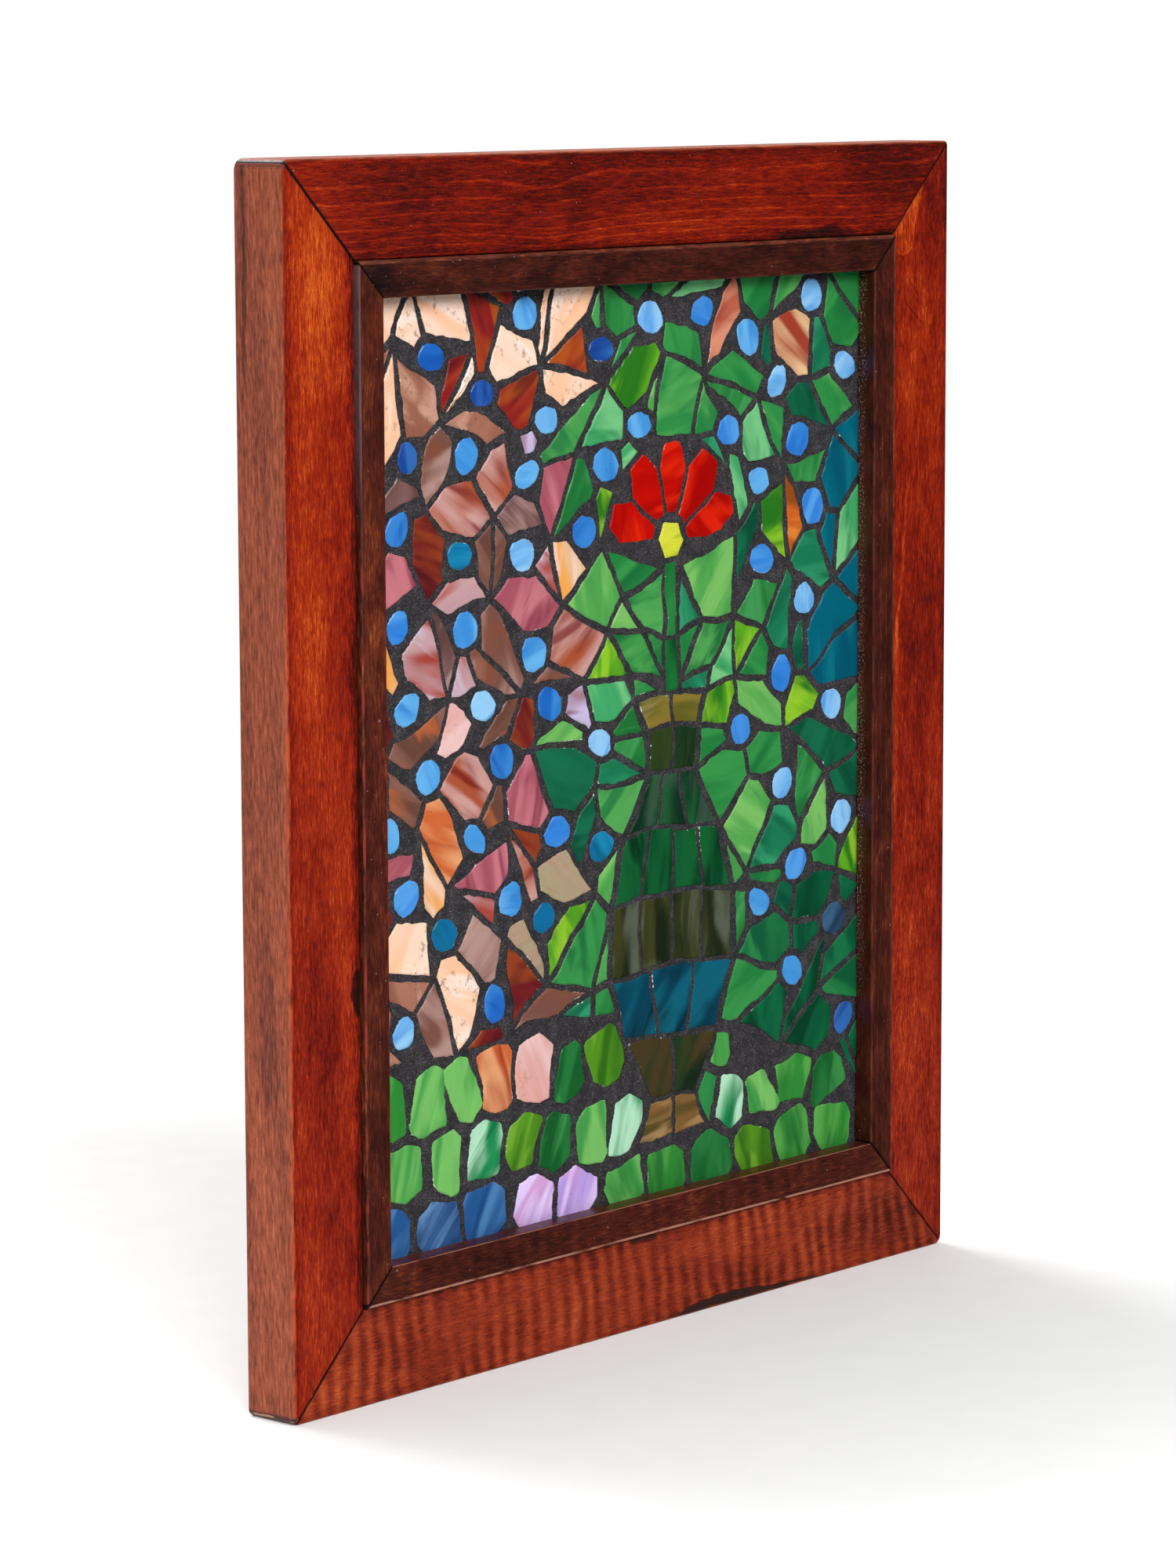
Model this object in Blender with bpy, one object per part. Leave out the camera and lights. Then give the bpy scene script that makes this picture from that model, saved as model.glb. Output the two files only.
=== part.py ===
"""A glass mosaic picture in a stained wooden frame, made to hang on a wall.

Metres, +Z up, the picture faces -Y. The origin is on the back of the top rail, at
its middle, where the frame hangs on the wall.
"""

import math
import random

import bmesh
import bpy
from mathutils import Vector
from mathutils.geometry import delaunay_2d_cdt

# The frame: four mitred rails.
FRAME_WIDTH = 0.425
FRAME_HEIGHT = 0.500
RAIL_FACE = 0.040
RAIL_DEPTH = 0.026
RAIL_ARRIS = 0.0014
BACK_ARRIS = 0.0007
INNER_ARRIS = 0.0005
CORNER_RADIUS = 0.003
CORNER_FACETS = 2
ARRIS_FACETS = 2

# The lip: four darker strips inside the rails, which cover the panel's edge.
LIP_FACE = 0.0142
LIP_PROUD = 0.002
LIP_GROOVE = 0.0010
LIP_ARRIS = 0.0007
SIGHT_DEPTH = 0.009

# The panel: pieces of glass on a board, with grout between them.
GLASS_THICKNESS = 0.0032
GLASS_PROUD = 0.0005
BOARD_THICKNESS = 0.006
BOARD_ARRIS = 0.0006
GLASS_UNDER_LIP = 0.004
JOINT_GAP = 0.0003

# The glass pieces and the grout joints between them.
GROUT_JOINT = 0.0026
FIGURE_JOINT = 0.0020
EYE_WIDTH = 0.0168
EYE_HEIGHT = 0.0152
EYE_SIDES = 7
SHARD_LENGTH = 0.030
LEAF_LENGTH = 0.030
LEAF_WIDTH = 0.023
STONE_WIDTH = 0.029
STONE_HEIGHT = 0.018
GROUND_HEIGHT = 0.072
SMALLEST_PIECE = 0.006
THINNEST_PIECE = 0.003
SHORTEST_SIDE = 0.0016

# The vase, and the blossom over it on a stem.
FLOWER_FROM_TOP = 0.110
VASE_FROM_BOTTOM = 0.024
VASE_RIGHT_OF_MIDDLE = 0.030
PETAL_LENGTH = 0.043
PETALS = 5

SEED = 11

FRONT = -RAIL_DEPTH
LIP_FRONT = FRONT - LIP_PROUD
GLASS_FRONT = LIP_FRONT + SIGHT_DEPTH
GROUT_FRONT = GLASS_FRONT + GLASS_PROUD
GLASS_BACK = GLASS_FRONT + GLASS_THICKNESS
BOARD_FRONT = GLASS_BACK + JOINT_GAP
BOARD_BACK = BOARD_FRONT + BOARD_THICKNESS
LIP_BACK = GLASS_FRONT - JOINT_GAP

CENTRE = Vector((0, 0, -(FRAME_HEIGHT - RAIL_FACE) / 2))
OPENING = Vector((FRAME_WIDTH, FRAME_HEIGHT)) / 2 - Vector((RAIL_FACE, RAIL_FACE))
LIP_OUTER = OPENING - Vector((LIP_GROOVE, LIP_GROOVE))
SIGHT = LIP_OUTER - Vector((LIP_FACE, LIP_FACE))
PANEL = OPENING - Vector((JOINT_GAP, JOINT_GAP))
FIELD = SIGHT + Vector((GLASS_UNDER_LIP, GLASS_UNDER_LIP))


# Outlines on the panel: lists of points (x, z), anticlockwise, from the panel's middle.


def area(outline):
    """The outline's area, positive where it runs anticlockwise."""
    turned = outline[1:] + outline[:1]
    return sum(a.cross(b) for a, b in zip(outline, turned)) / 2


def middle(outline):
    """The outline's centre of area."""
    turned = outline[1:] + outline[:1]
    total = Vector((0, 0))
    for a, b in zip(outline, turned):
        total += (a + b) * a.cross(b)
    return total / (6 * area(outline))


def sides(outline):
    """Each side as its start and its outward normal."""
    turned = outline[1:] + outline[:1]
    found = []
    for a, b in zip(outline, turned):
        along = (b - a).normalized()
        found.append((a, Vector((along.y, -along.x))))
    return found


def clipped(outline, point, normal):
    """What is left of a convex outline behind the line through point."""
    kept = []
    turned = outline[1:] + outline[:1]
    for a, b in zip(outline, turned):
        depth_a = (a - point).dot(normal)
        depth_b = (b - point).dot(normal)
        if depth_a <= 0:
            kept.append(a)
        if depth_a * depth_b < 0:
            kept.append(a.lerp(b, depth_a / (depth_a - depth_b)))
    return kept if len(kept) > 2 else []


def inset(outline, distance):
    """A convex outline with every side moved in by distance."""
    left = list(outline)
    for start, normal in sides(outline):
        left = clipped(left, start - normal * distance, normal)
        if not left:
            break
    return left


def grown(outline, distance):
    """A convex outline with every side moved out by distance."""
    lines = sides(outline)
    found = []
    for (_, normal_a), (corner, normal_b) in zip(lines[-1:] + lines[:-1], lines):
        share = distance / (1 + normal_a.dot(normal_b))
        found.append(corner + (normal_a + normal_b) * share)
    return found


def kept_clear(outline, neighbour, gap):
    """The largest part of outline that one straight cut leaves clear of its neighbour."""
    best = []
    for start, normal in sides(neighbour):
        part = clipped(outline, start + normal * gap, -normal)
        if part and (not best or area(part) > area(best)):
            best = part
    return best


def without_short_sides(outline):
    """The outline with corners that nearly meet made one."""
    kept = []
    for point in outline:
        if not kept or (point - kept[-1]).length > SHORTEST_SIDE:
            kept.append(point)
    while len(kept) > 3 and (kept[0] - kept[-1]).length <= SHORTEST_SIDE:
        kept.pop()
    return kept


def reach(outline, centre):
    """The distance from centre to the outline's farthest corner."""
    return max((point - centre).length for point in outline)


def is_piece(outline):
    """Whether an outline is large and wide enough for a real piece of glass."""
    if len(outline) < 3 or area(outline) < SMALLEST_PIECE**2:
        return False
    return len(inset(outline, THINNEST_PIECE / 2)) > 2


def is_convex(outline):
    """Whether every corner turns clearly to the left."""
    count = len(outline)
    for i, point in enumerate(outline):
        before = (point - outline[i - 1]).normalized()
        after = (outline[(i + 1) % count] - point).normalized()
        if before.cross(after) < 0.12:
            return False
    return True


def holds(outline, point, margin=0.0):
    """Whether point lies inside the outline, or within margin of it."""
    crossings = False
    count = len(outline)
    for i, a in enumerate(outline):
        b = outline[(i + 1) % count]
        along = b - a
        share = min(1, max(0, (point - a).dot(along) / along.length_squared))
        if (a + along * share - point).length < margin:
            return True
        if (a.y > point.y) != (b.y > point.y):
            if point.x < a.x + along.x * (point.y - a.y) / along.y:
                crossings = not crossings
    return crossings


def stepped(outline, step):
    """The outline with points added, so that no side is much longer than step."""
    found = []
    turned = outline[1:] + outline[:1]
    for a, b in zip(outline, turned):
        parts = max(1, round((b - a).length / step))
        found += [a.lerp(b, i / parts) for i in range(parts)]
    return found


def rectangle(half):
    return [
        Vector((-half.x, -half.y)),
        Vector((half.x, -half.y)),
        Vector((half.x, half.y)),
        Vector((-half.x, half.y)),
    ]


# The vase and its stem. Heights and half widths are shares of the height from the
# vase's foot to the middle of the blossom.

FLOWER_HEIGHT = 2 * SIGHT.y - FLOWER_FROM_TOP - VASE_FROM_BOTTOM
VASE_FOOT = Vector((VASE_RIGHT_OF_MIDDLE, -SIGHT.y + VASE_FROM_BOTTOM))
ROW_DROOP = 0.50

# Each row: its name, its top and the half width there, its bottom and the half width
# there, and its pieces.
VASE_ROWS = [
    ("stem_lower", 0.840, 0.018, 0.745, 0.020, 1),
    ("vase_rim", 0.745, 0.090, 0.690, 0.066, 2),
    ("vase_neck", 0.690, 0.066, 0.615, 0.062, 2),
    ("vase_shoulder", 0.615, 0.062, 0.520, 0.122, 3),
    ("vase_upper_body", 0.520, 0.122, 0.410, 0.158, 4),
    ("vase_body", 0.410, 0.158, 0.290, 0.156, 4),
    ("vase_lower_body", 0.290, 0.156, 0.175, 0.116, 3),
    ("vase_taper", 0.175, 0.116, 0.065, 0.062, 2),
    ("vase_foot", 0.065, 0.062, 0.000, 0.094, 2),
]

# The two leaves of the stem: corners from the stem outwards, for the right one.
LEAF_CORNERS = [(0.030, 0.772), (0.096, 0.790), (0.150, 0.858), (0.084, 0.852)]


def on_vase(x, z):
    """A point of the vase or its stem, from shares of the flower's height."""
    return VASE_FOOT + Vector((x, z)) * FLOWER_HEIGHT


def vase_row(top, top_half, bottom, bottom_half, count):
    """The quads of one row, which droops towards its sides, the more the wider it is."""
    found = []
    for i in range(count):
        left = -1 + 2 * i / count
        right = -1 + 2 * (i + 1) / count
        corners = [
            (left, bottom_half, bottom),
            (right, bottom_half, bottom),
            (right, top_half, top),
            (left, top_half, top),
        ]
        found.append(
            [on_vase(x * half, z - ROW_DROOP * (x * half) ** 2) for x, half, z in corners]
        )
    return found


def ring_of(centre, radius, count, turn=0.0):
    """A regular outline of count corners."""
    found = []
    for i in range(count):
        angle = turn + 2 * math.pi * i / count
        found.append(centre + Vector((math.cos(angle), math.sin(angle))) * radius)
    return found


def stem_leaf(side):
    """One leaf of the stem: side is 1 for the right one and -1 for the left one."""
    outline = [on_vase(side * x, z) for x, z in LEAF_CORNERS]
    return outline if side > 0 else outline[::-1]


def blossom_base():
    """Where the petals of the blossom meet, at the top of the stem."""
    return on_vase(0, 1)


def stem_top():
    """The height of the stem's upper end, as a share: a joint below the cup."""
    cup = PETAL_LENGTH * CUP_SHARE * math.cos(math.pi / 6)
    return 1 - (cup + FIGURE_JOINT / 2) / FLOWER_HEIGHT


def vase_pieces():
    """Every piece of the vase, the stem and its leaves, by name."""
    top_row = ("stem_upper", stem_top(), 0.016, *VASE_ROWS[0][1:3], 1)
    found = {}
    for name, top, top_half, bottom, bottom_half, count in [top_row] + VASE_ROWS:
        quads = vase_row(top, top_half, bottom, bottom_half, count)
        for number, quad in enumerate(quads):
            label = name if count == 1 else f"{name}_{number + 1}"
            found[label] = inset(quad, FIGURE_JOINT / 2)
    for side, name in ((-1, "left"), (1, "right")):
        found[f"stem_leaf_{name}"] = stem_leaf(side)
    return found


def vase_silhouette():
    """The line round the vase, which the pieces beside it meet."""
    margin = GROUT_JOINT / 2 / FLOWER_HEIGHT
    right = []
    for name, top, top_half, bottom, bottom_half, _ in reversed(VASE_ROWS[1:]):
        if not right:
            right.append((bottom_half + margin, bottom - ROW_DROOP * bottom_half**2))
        right.append((top_half + margin, top - ROW_DROOP * top_half**2))
    left = [(-x, z) for x, z in reversed(right)]
    return [on_vase(x, z) for x, z in right + left]


# The blossom: petals that open upwards from a small cup.

PETAL_SPREAD = 36
CUP_SHARE = 0.20
PETAL_CORNERS = [(0.26, 1.0), (0.78, 1.0), (1.0, 0.42)]


def petal(number):
    """One petal: narrow at the cup, widest past its middle, with a blunt tip."""
    lean = PETAL_SPREAD * ((PETALS - 1) / 2 - number) + 90
    right = [(far, -turn) for far, turn in PETAL_CORNERS]
    left = [(far, turn) for far, turn in reversed(PETAL_CORNERS)]
    outline = []
    for far, turn in right + left:
        angle = math.radians(lean + turn * PETAL_SPREAD / 2)
        away = Vector((math.cos(angle), math.sin(angle)))
        outline.append(blossom_base() + away * far * PETAL_LENGTH)
    return inset(outline, FIGURE_JOINT / 2)


def blossom_pieces():
    """The petals, and the cup that they stand in."""
    found = {f"petal_{i + 1}": petal(i) for i in range(PETALS)}
    found["petal_cup"] = ring_of(blossom_base(), PETAL_LENGTH * CUP_SHARE, 6)
    return found


def blossom_silhouette():
    """The line round the blossom, which the pieces beside it meet."""
    half_spread = PETAL_SPREAD * PETALS / 2
    found = [blossom_base() - Vector((0, PETAL_LENGTH * 0.3))]
    for i in range(PETALS + 1):
        angle = math.radians(90 - half_spread + PETAL_SPREAD * i)
        away = Vector((math.cos(angle), math.sin(angle)))
        found.append(blossom_base() + away * PETAL_LENGTH)
    return found


# The ground under the vase: leaves, with a row of stones below them.


def ground_outline():
    """The ground's band along the foot of the picture."""
    bottom, left = -FIELD.y, -FIELD.x
    top = -SIGHT.y + GROUND_HEIGHT
    return [
        Vector((left, bottom)),
        Vector((FIELD.x, bottom)),
        Vector((FIELD.x, bottom + GROUND_HEIGHT * 0.42)),
        Vector((FIELD.x * 0.45, top * 1.05)),
        Vector((FIELD.x * 0.02, top * 0.94)),
        Vector((left * 0.30, top * 0.90)),
        Vector((left, top)),
    ]


def ground_seeds(rng):
    """The middle of each leaf and stone, row by row from the bottom."""
    found = []
    rows = [(-SIGHT.y + STONE_HEIGHT / 2, STONE_WIDTH)]
    leaf_rows = round((GROUND_HEIGHT - STONE_HEIGHT) / LEAF_LENGTH) + 1
    for i in range(leaf_rows):
        z = -SIGHT.y + STONE_HEIGHT + (i + 0.5) * LEAF_LENGTH
        rows.append((z, LEAF_WIDTH))
    for number, (z, wide) in enumerate(rows):
        for i in range(round(2 * FIELD.x / wide)):
            shift = 0.5 + 0.5 * (number % 2) + rng.uniform(-0.16, 0.16)
            x = -FIELD.x + (i + shift) * wide
            found.append(Vector((x, z + rng.uniform(-0.10, 0.10) * LEAF_LENGTH)))
    return found


def ground_pieces(rng):
    """Rounded pieces that share the ground, each nearest to its own seed."""
    seeds = ground_seeds(rng)
    found = []
    for seed in seeds:
        cell = rectangle(FIELD)
        for other in seeds:
            across = other - seed
            if 0 < across.length < 3 * LEAF_LENGTH:
                half = across.length / 2 - GROUT_JOINT / 2
                across.normalize()
                cell = clipped(cell, seed + across * half, across)
                if not cell:
                    break
        if cell and holds(ground_outline(), seed):
            corner = ring_of(seed, LEAF_LENGTH * 0.52, 8, rng.uniform(0, 0.7))
            for start, normal in sides(corner):
                cell = clipped(cell, start, normal)
            found.append(cell)
    return found


# The background: blue eyes on rings round the blossom, with shards between them.


RING_STEP = SHARD_LENGTH * 0.64
POINT_STEP = SHARD_LENGTH * 1.14
NIP = 0.06
EYE_REACH = max(EYE_WIDTH, EYE_HEIGHT) / 2 * (1 + NIP)


def ring_points(rng, centre, ring):
    """Uneven points round one ring of the background."""
    radius = ring * RING_STEP
    count = max(3, round(2 * math.pi * radius / POINT_STEP))
    start = rng.uniform(0, 2 * math.pi)
    found = []
    for i in range(count):
        angle = start + 2 * math.pi * (i + rng.uniform(-0.20, 0.20)) / count
        far = radius + rng.uniform(-0.22, 0.22) * RING_STEP
        found.append(centre + Vector((math.cos(angle), math.sin(angle))) * far)
    return found


def has_room(point, margin, taken):
    """Whether a point is in the field, margin clear of its edge and of the figures."""
    if abs(point.x) > FIELD.x - margin or abs(point.y) > FIELD.y - margin:
        return False
    return not any(holds(outline, point, margin) for outline in taken)


def background_points(rng, taken):
    """Points on rings round the blossom: eyes, and bare corners of shards."""
    centre = blossom_base()
    eyes, corners = [], []
    for ring in range(2, int(3.2 * FIELD.y / RING_STEP)):
        is_eye = ring % 2 == 1
        margin = EYE_REACH if is_eye else SHARD_LENGTH * 0.22
        for point in ring_points(rng, centre, ring):
            if not has_room(point, margin + GROUT_JOINT, taken):
                continue
            if not is_eye:
                corners.append(point)
            elif all((point - eye).length > 2 * EYE_REACH + GROUT_JOINT for eye in eyes):
                eyes.append(point)
    return eyes, corners


def eye_outline(rng, centre):
    """A blue piece nipped nearly round."""
    found = []
    turn = rng.uniform(0, 2 * math.pi)
    for i in range(EYE_SIDES):
        angle = turn + 2 * math.pi * (i + rng.uniform(-0.10, 0.10)) / EYE_SIDES
        across = Vector((math.cos(angle) * EYE_WIDTH, math.sin(angle) * EYE_HEIGHT)) / 2
        found.append(centre + across * rng.uniform(1 - NIP, 1 + NIP))
    return found


def cells_between(points, field, holes):
    """Triangles between all points, outside the holes, some of them joined in pairs."""
    verts, faces = list(points), []
    for outline in [field] + holes:
        faces.append(list(range(len(verts), len(verts) + len(outline))))
        verts += outline
    tiny = 1e-6
    out, _, triangles, _, _, parents = delaunay_2d_cdt(verts, [], faces, 1, tiny)
    return out, [tuple(t) for t, p in zip(triangles, parents) if set(p) == {0}]


def joined_pairs(rng, verts, triangles):
    """Outlines of single triangles and of convex pairs of them."""
    by_edge = {}
    for index, triangle in enumerate(triangles):
        for i in range(3):
            edge = frozenset((triangle[i], triangle[(i + 1) % 3]))
            by_edge.setdefault(edge, []).append(index)
    used, outlines = set(), []
    order = list(range(len(triangles)))
    rng.shuffle(order)
    for index in order:
        if index in used:
            continue
        used.add(index)
        a, b, c = triangles[index]
        outline = [verts[i] for i in (a, b, c)]
        options = []
        for u, v, w in ((a, b, c), (b, c, a), (c, a, b)):
            for other in by_edge[frozenset((u, v))]:
                if other in used:
                    continue
                (far,) = set(triangles[other]) - {u, v}
                quad = [verts[i] for i in (u, far, v, w)]
                if is_convex(quad) and area(quad) < SHARD_LENGTH**2 * 1.15:
                    options.append(((verts[u] - verts[v]).length, other, quad))
        if options and rng.random() < 0.86:
            _, other, outline = max(options, key=lambda option: option[0])
            used.add(other)
        outlines.append(outline)
    return outlines


def anticlockwise(outline):
    return outline if area(outline) > 0 else outline[::-1]


def fitted(outline, settled):
    """The outline cut clear of the settled pieces near it, or nothing if little is left."""
    if not is_piece(outline):
        return []
    centre = middle(outline)
    far = reach(outline, centre)
    for other in settled:
        other_centre = middle(other)
        if (centre - other_centre).length < far + reach(other, other_centre) + GROUT_JOINT:
            outline = kept_clear(outline, other, GROUT_JOINT)
            if not outline:
                return []
    outline = without_short_sides(outline)
    return outline if is_piece(outline) else []


def fused_outlines(figures):
    """The outlines of all pieces that stand on the grout bed: eyes, ground and shards."""
    rng = random.Random(SEED)
    taken = [ground_outline(), vase_silhouette(), blossom_silhouette()]
    stem = [outline for name, outline in figures.items() if name.startswith("stem")]
    taken += [grown(outline, GROUT_JOINT / 2) for outline in stem]
    eyes, corners = background_points(rng, taken)
    settled = [eye_outline(rng, eye) for eye in eyes]
    solid = list(figures.values())
    for outline in ground_pieces(rng):
        outline = fitted(outline, solid)
        if outline:
            settled.append(outline)
    near = [stepped(outline, SHARD_LENGTH) for outline in taken]
    field = stepped(rectangle(FIELD), SHARD_LENGTH)
    verts, triangles = cells_between(eyes + corners, field, near)
    shards = []
    for shard in joined_pairs(rng, verts, triangles):
        shard = inset(anticlockwise(shard), GROUT_JOINT / 2)
        shard = fitted(shard, solid + settled)
        if shard:
            shards.append(shard)
    return settled + shards


# Bodies.

AHEAD = Vector((0, -1, 0))
BEHIND = Vector((0, 1, 0))

RAIL_COLOUR = (0.30, 0.045, 0.014)
LIP_COLOUR = (0.050, 0.012, 0.008)
BOARD_COLOUR = (0.30, 0.17, 0.085)
GROUT_COLOUR = (0.045, 0.043, 0.042)

# Colours of glass, and the glass of each figure piece by the start of its name.
GLASS = {
    "dark_green": (0.010, 0.080, 0.040),
    "green": (0.030, 0.240, 0.065),
    "yellow": (0.420, 0.520, 0.020),
    "tan": (0.210, 0.120, 0.035),
    "olive": (0.050, 0.055, 0.022),
    "teal": (0.010, 0.110, 0.160),
    "red": (0.620, 0.010, 0.006),
}
FIGURE_GLASS = {
    "stem": "green",
    "vase_rim": "tan",
    "vase_neck": "olive",
    "vase_shoulder": "dark_green",
    "vase_upper_body": "dark_green",
    "vase_body": "olive",
    "vase_lower_body": "teal",
    "vase_taper": "olive",
    "vase_foot": "tan",
    "petal_cup": "yellow",
    "petal": "red",
}


def new_material(name, colour, roughness):
    material = bpy.data.materials.new(name)
    material.use_nodes = True
    shader = material.node_tree.nodes["Principled BSDF"]
    shader.inputs["Base Color"].default_value = (*colour, 1)
    shader.inputs["Roughness"].default_value = roughness
    shader.inputs["Metallic"].default_value = 0
    return material


def new_object(name, mesh, colour, roughness):
    """An object of the mesh, with its origin at the middle of its own box."""
    place = Vector()
    for axis in range(3):
        along = [vert.co[axis] for vert in mesh.verts]
        place[axis] = (min(along) + max(along)) / 2
    bmesh.ops.translate(mesh, verts=mesh.verts, vec=-place)
    bmesh.ops.recalc_face_normals(mesh, faces=mesh.faces)
    data = bpy.data.meshes.new(name)
    mesh.to_mesh(data)
    mesh.free()
    data.materials.append(new_material(name, colour, roughness))
    obj = bpy.data.objects.new(name, data)
    obj.location = place
    bpy.context.scene.collection.objects.link(obj)
    return obj


def box(low, high):
    mesh = bmesh.new()
    bmesh.ops.create_cube(mesh, size=1)
    for vert in mesh.verts:
        ends = zip(low, high, vert.co)
        vert.co = [high_end if side > 0 else low_end for low_end, high_end, side in ends]
    return mesh


def cut(mesh, point, normal):
    """Keeps what lies behind the plane, and closes the cut."""
    geometry = mesh.verts[:] + mesh.edges[:] + mesh.faces[:]
    made = bmesh.ops.bisect_plane(
        mesh, geom=geometry, dist=1e-7, plane_co=point, plane_no=normal, clear_outer=True
    )
    edges = [item for item in made["geom_cut"] if isinstance(item, bmesh.types.BMEdge)]
    if edges:
        bmesh.ops.contextual_create(mesh, geom=edges)


def round_edge(mesh, edge_point, normal_a, normal_b, radius, facets):
    """Rounds the edge where two square faces meet, in flat facets."""
    centre = edge_point - (normal_a + normal_b) * radius
    for i in range(facets):
        angle = math.pi / 2 * (i + 0.5) / facets
        normal = normal_a * math.cos(angle) + normal_b * math.sin(angle)
        cut(mesh, centre + normal * radius, normal)


def on_panel(point, y):
    """A point (x, z) of the panel, at depth y."""
    return CENTRE + Vector((point.x, y, point.y))


class Strip:
    """A straight strip along one side of the frame, mitred at both ends."""

    def __init__(self, outward, outer, face, front, back):
        self.outward = outward
        self.face = face
        self.front = front
        self.back = back
        self.along = Vector((abs(outward.z), 0, abs(outward.x)))
        half = Vector((outer.x, 0, outer.y))
        self.far = abs(half.dot(outward))
        self.end = half.dot(self.along)
        reach_out = outward * self.far
        reach_along = self.along * self.end
        corner = CENTRE + reach_out + reach_along + Vector((0, back, 0))
        across = CENTRE + outward * (self.far - face) - reach_along
        across.y = front
        low = [min(pair) for pair in zip(corner, across)]
        high = [max(pair) for pair in zip(corner, across)]
        self.mesh = box(low, high)
        for side in (-1, 1):
            normal = (self.along * side - outward).normalized()
            cut(self.mesh, self.tip(side) - normal * JOINT_GAP / 2, normal)

    def tip(self, side):
        """The strip's outer corner at one end."""
        return CENTRE + self.outward * self.far + self.along * side * self.end

    def round_long_edge(self, is_outer, y, facing, radius, facets):
        """Rounds one of the edges that run along the strip."""
        distance = self.far if is_outer else self.far - self.face
        edge = CENTRE + self.outward * distance
        edge.y = y
        away = self.outward if is_outer else -self.outward
        round_edge(self.mesh, edge, facing, away, radius, facets)

    def round_corners(self, radius, facets):
        """Rounds this strip's half of each of the frame's corners."""
        for side in (-1, 1):
            centre = self.tip(side) - (self.outward + self.along * side) * radius
            for i in range(facets):
                angle = math.pi / 4 * (i + 0.5) / facets
                away = self.outward * math.cos(angle)
                normal = away + self.along * side * math.sin(angle)
                cut(self.mesh, centre + normal * radius, normal)


# The outward direction of each side of the frame.
SIDES = {
    "top": Vector((0, 0, 1)),
    "bottom": Vector((0, 0, -1)),
    "left": Vector((-1, 0, 0)),
    "right": Vector((1, 0, 0)),
}


def make_rail(name, outward):
    outer = OPENING + Vector((RAIL_FACE, RAIL_FACE))
    rail = Strip(outward, outer, RAIL_FACE, FRONT, 0)
    rail.round_corners(CORNER_RADIUS, CORNER_FACETS)
    rail.round_long_edge(True, FRONT, AHEAD, RAIL_ARRIS, ARRIS_FACETS)
    rail.round_long_edge(True, 0, BEHIND, BACK_ARRIS, 1)
    rail.round_long_edge(False, FRONT, AHEAD, INNER_ARRIS, 1)
    return new_object(f"rail_{name}", rail.mesh, RAIL_COLOUR, 0.35)


def make_lip(name, outward):
    lip = Strip(outward, LIP_OUTER, LIP_FACE, LIP_FRONT, LIP_BACK)
    lip.round_long_edge(True, LIP_FRONT, AHEAD, LIP_ARRIS, ARRIS_FACETS)
    lip.round_long_edge(False, LIP_FRONT, AHEAD, LIP_ARRIS, ARRIS_FACETS)
    return new_object(f"lip_{name}", lip.mesh, LIP_COLOUR, 0.4)


def make_board():
    mesh = box(on_panel(-PANEL, BOARD_FRONT), on_panel(PANEL, BOARD_BACK))
    for outward in SIDES.values():
        reach_out = abs(Vector((PANEL.x, 0, PANEL.y)).dot(outward))
        edge = CENTRE + outward * reach_out
        edge.y = BOARD_BACK
        round_edge(mesh, edge, BEHIND, outward, BOARD_ARRIS, 1)
    return new_object("backing_board", mesh, BOARD_COLOUR, 0.75)


def wall(mesh, upper, lower):
    """Faces between two rings of vertices."""
    for i in range(len(upper)):
        j = (i + 1) % len(upper)
        mesh.faces.new((upper[i], upper[j], lower[j], lower[i]))


def make_glass(name, outline):
    """One piece of glass of a figure, flat on the board."""
    mesh = bmesh.new()
    front = [mesh.verts.new(on_panel(point, GLASS_FRONT)) for point in outline]
    back = [mesh.verts.new(on_panel(point, GLASS_BACK)) for point in outline]
    mesh.faces.new(front)
    mesh.faces.new(back)
    wall(mesh, front, back)
    glass = next(kind for start, kind in FIGURE_GLASS.items() if name.startswith(start))
    return new_object(name, mesh, GLASS[glass], 0.2)


def flat_sheet(mesh, y, outlines, open_from):
    """A sheet at depth y across the first outline, with the later ones marked in it.

    It is open inside each outline from number open_from on. Returns the sheet's
    vertices round each outline."""
    verts, faces = [], []
    for outline in outlines:
        faces.append(list(range(len(verts), len(verts) + len(outline))))
        verts += outline
    out, _, triangles, sources, _, parents = delaunay_2d_cdt(verts, [], faces, 1, 1e-7)
    made = [mesh.verts.new(on_panel(point, y)) for point in out]
    place = {}
    for vert, source in zip(made, sources):
        for original in source:
            place[original] = vert
    for triangle, parent in zip(triangles, parents):
        if max(parent) < open_from:
            mesh.faces.new([made[i] for i in triangle])
    return [[place[i] for i in face] for face in faces]


def make_mosaic_field(fused, figures):
    """The grout bed, with the fused pieces of glass and a pocket for each figure piece."""
    pockets = [grown(outline, JOINT_GAP) for outline in figures.values()]
    edge = rectangle(PANEL)
    mesh = bmesh.new()
    front_edge, *marks = flat_sheet(mesh, GROUT_FRONT, [edge] + fused + pockets, 1)
    back_edge, *pocket_backs = flat_sheet(mesh, GLASS_BACK, [edge] + pockets, 1)
    wall(mesh, front_edge, back_edge)
    for front, back in zip(marks[len(fused) :], pocket_backs):
        wall(mesh, front, back)
    for outline, foot in zip(fused, marks):
        top = [mesh.verts.new(on_panel(point, GLASS_FRONT)) for point in outline]
        wall(mesh, top, foot)
        mesh.faces.new(top)
    return new_object("mosaic_field", mesh, GROUT_COLOUR, 0.85)


def main():
    for obj in list(bpy.data.objects):
        bpy.data.objects.remove(obj)
    for name, outward in SIDES.items():
        make_rail(name, outward)
        make_lip(name, outward)
    make_board()
    figures = {**vase_pieces(), **blossom_pieces()}
    make_mosaic_field(fused_outlines(figures), figures)
    for name, outline in figures.items():
        make_glass(name, outline)


main()
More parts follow.
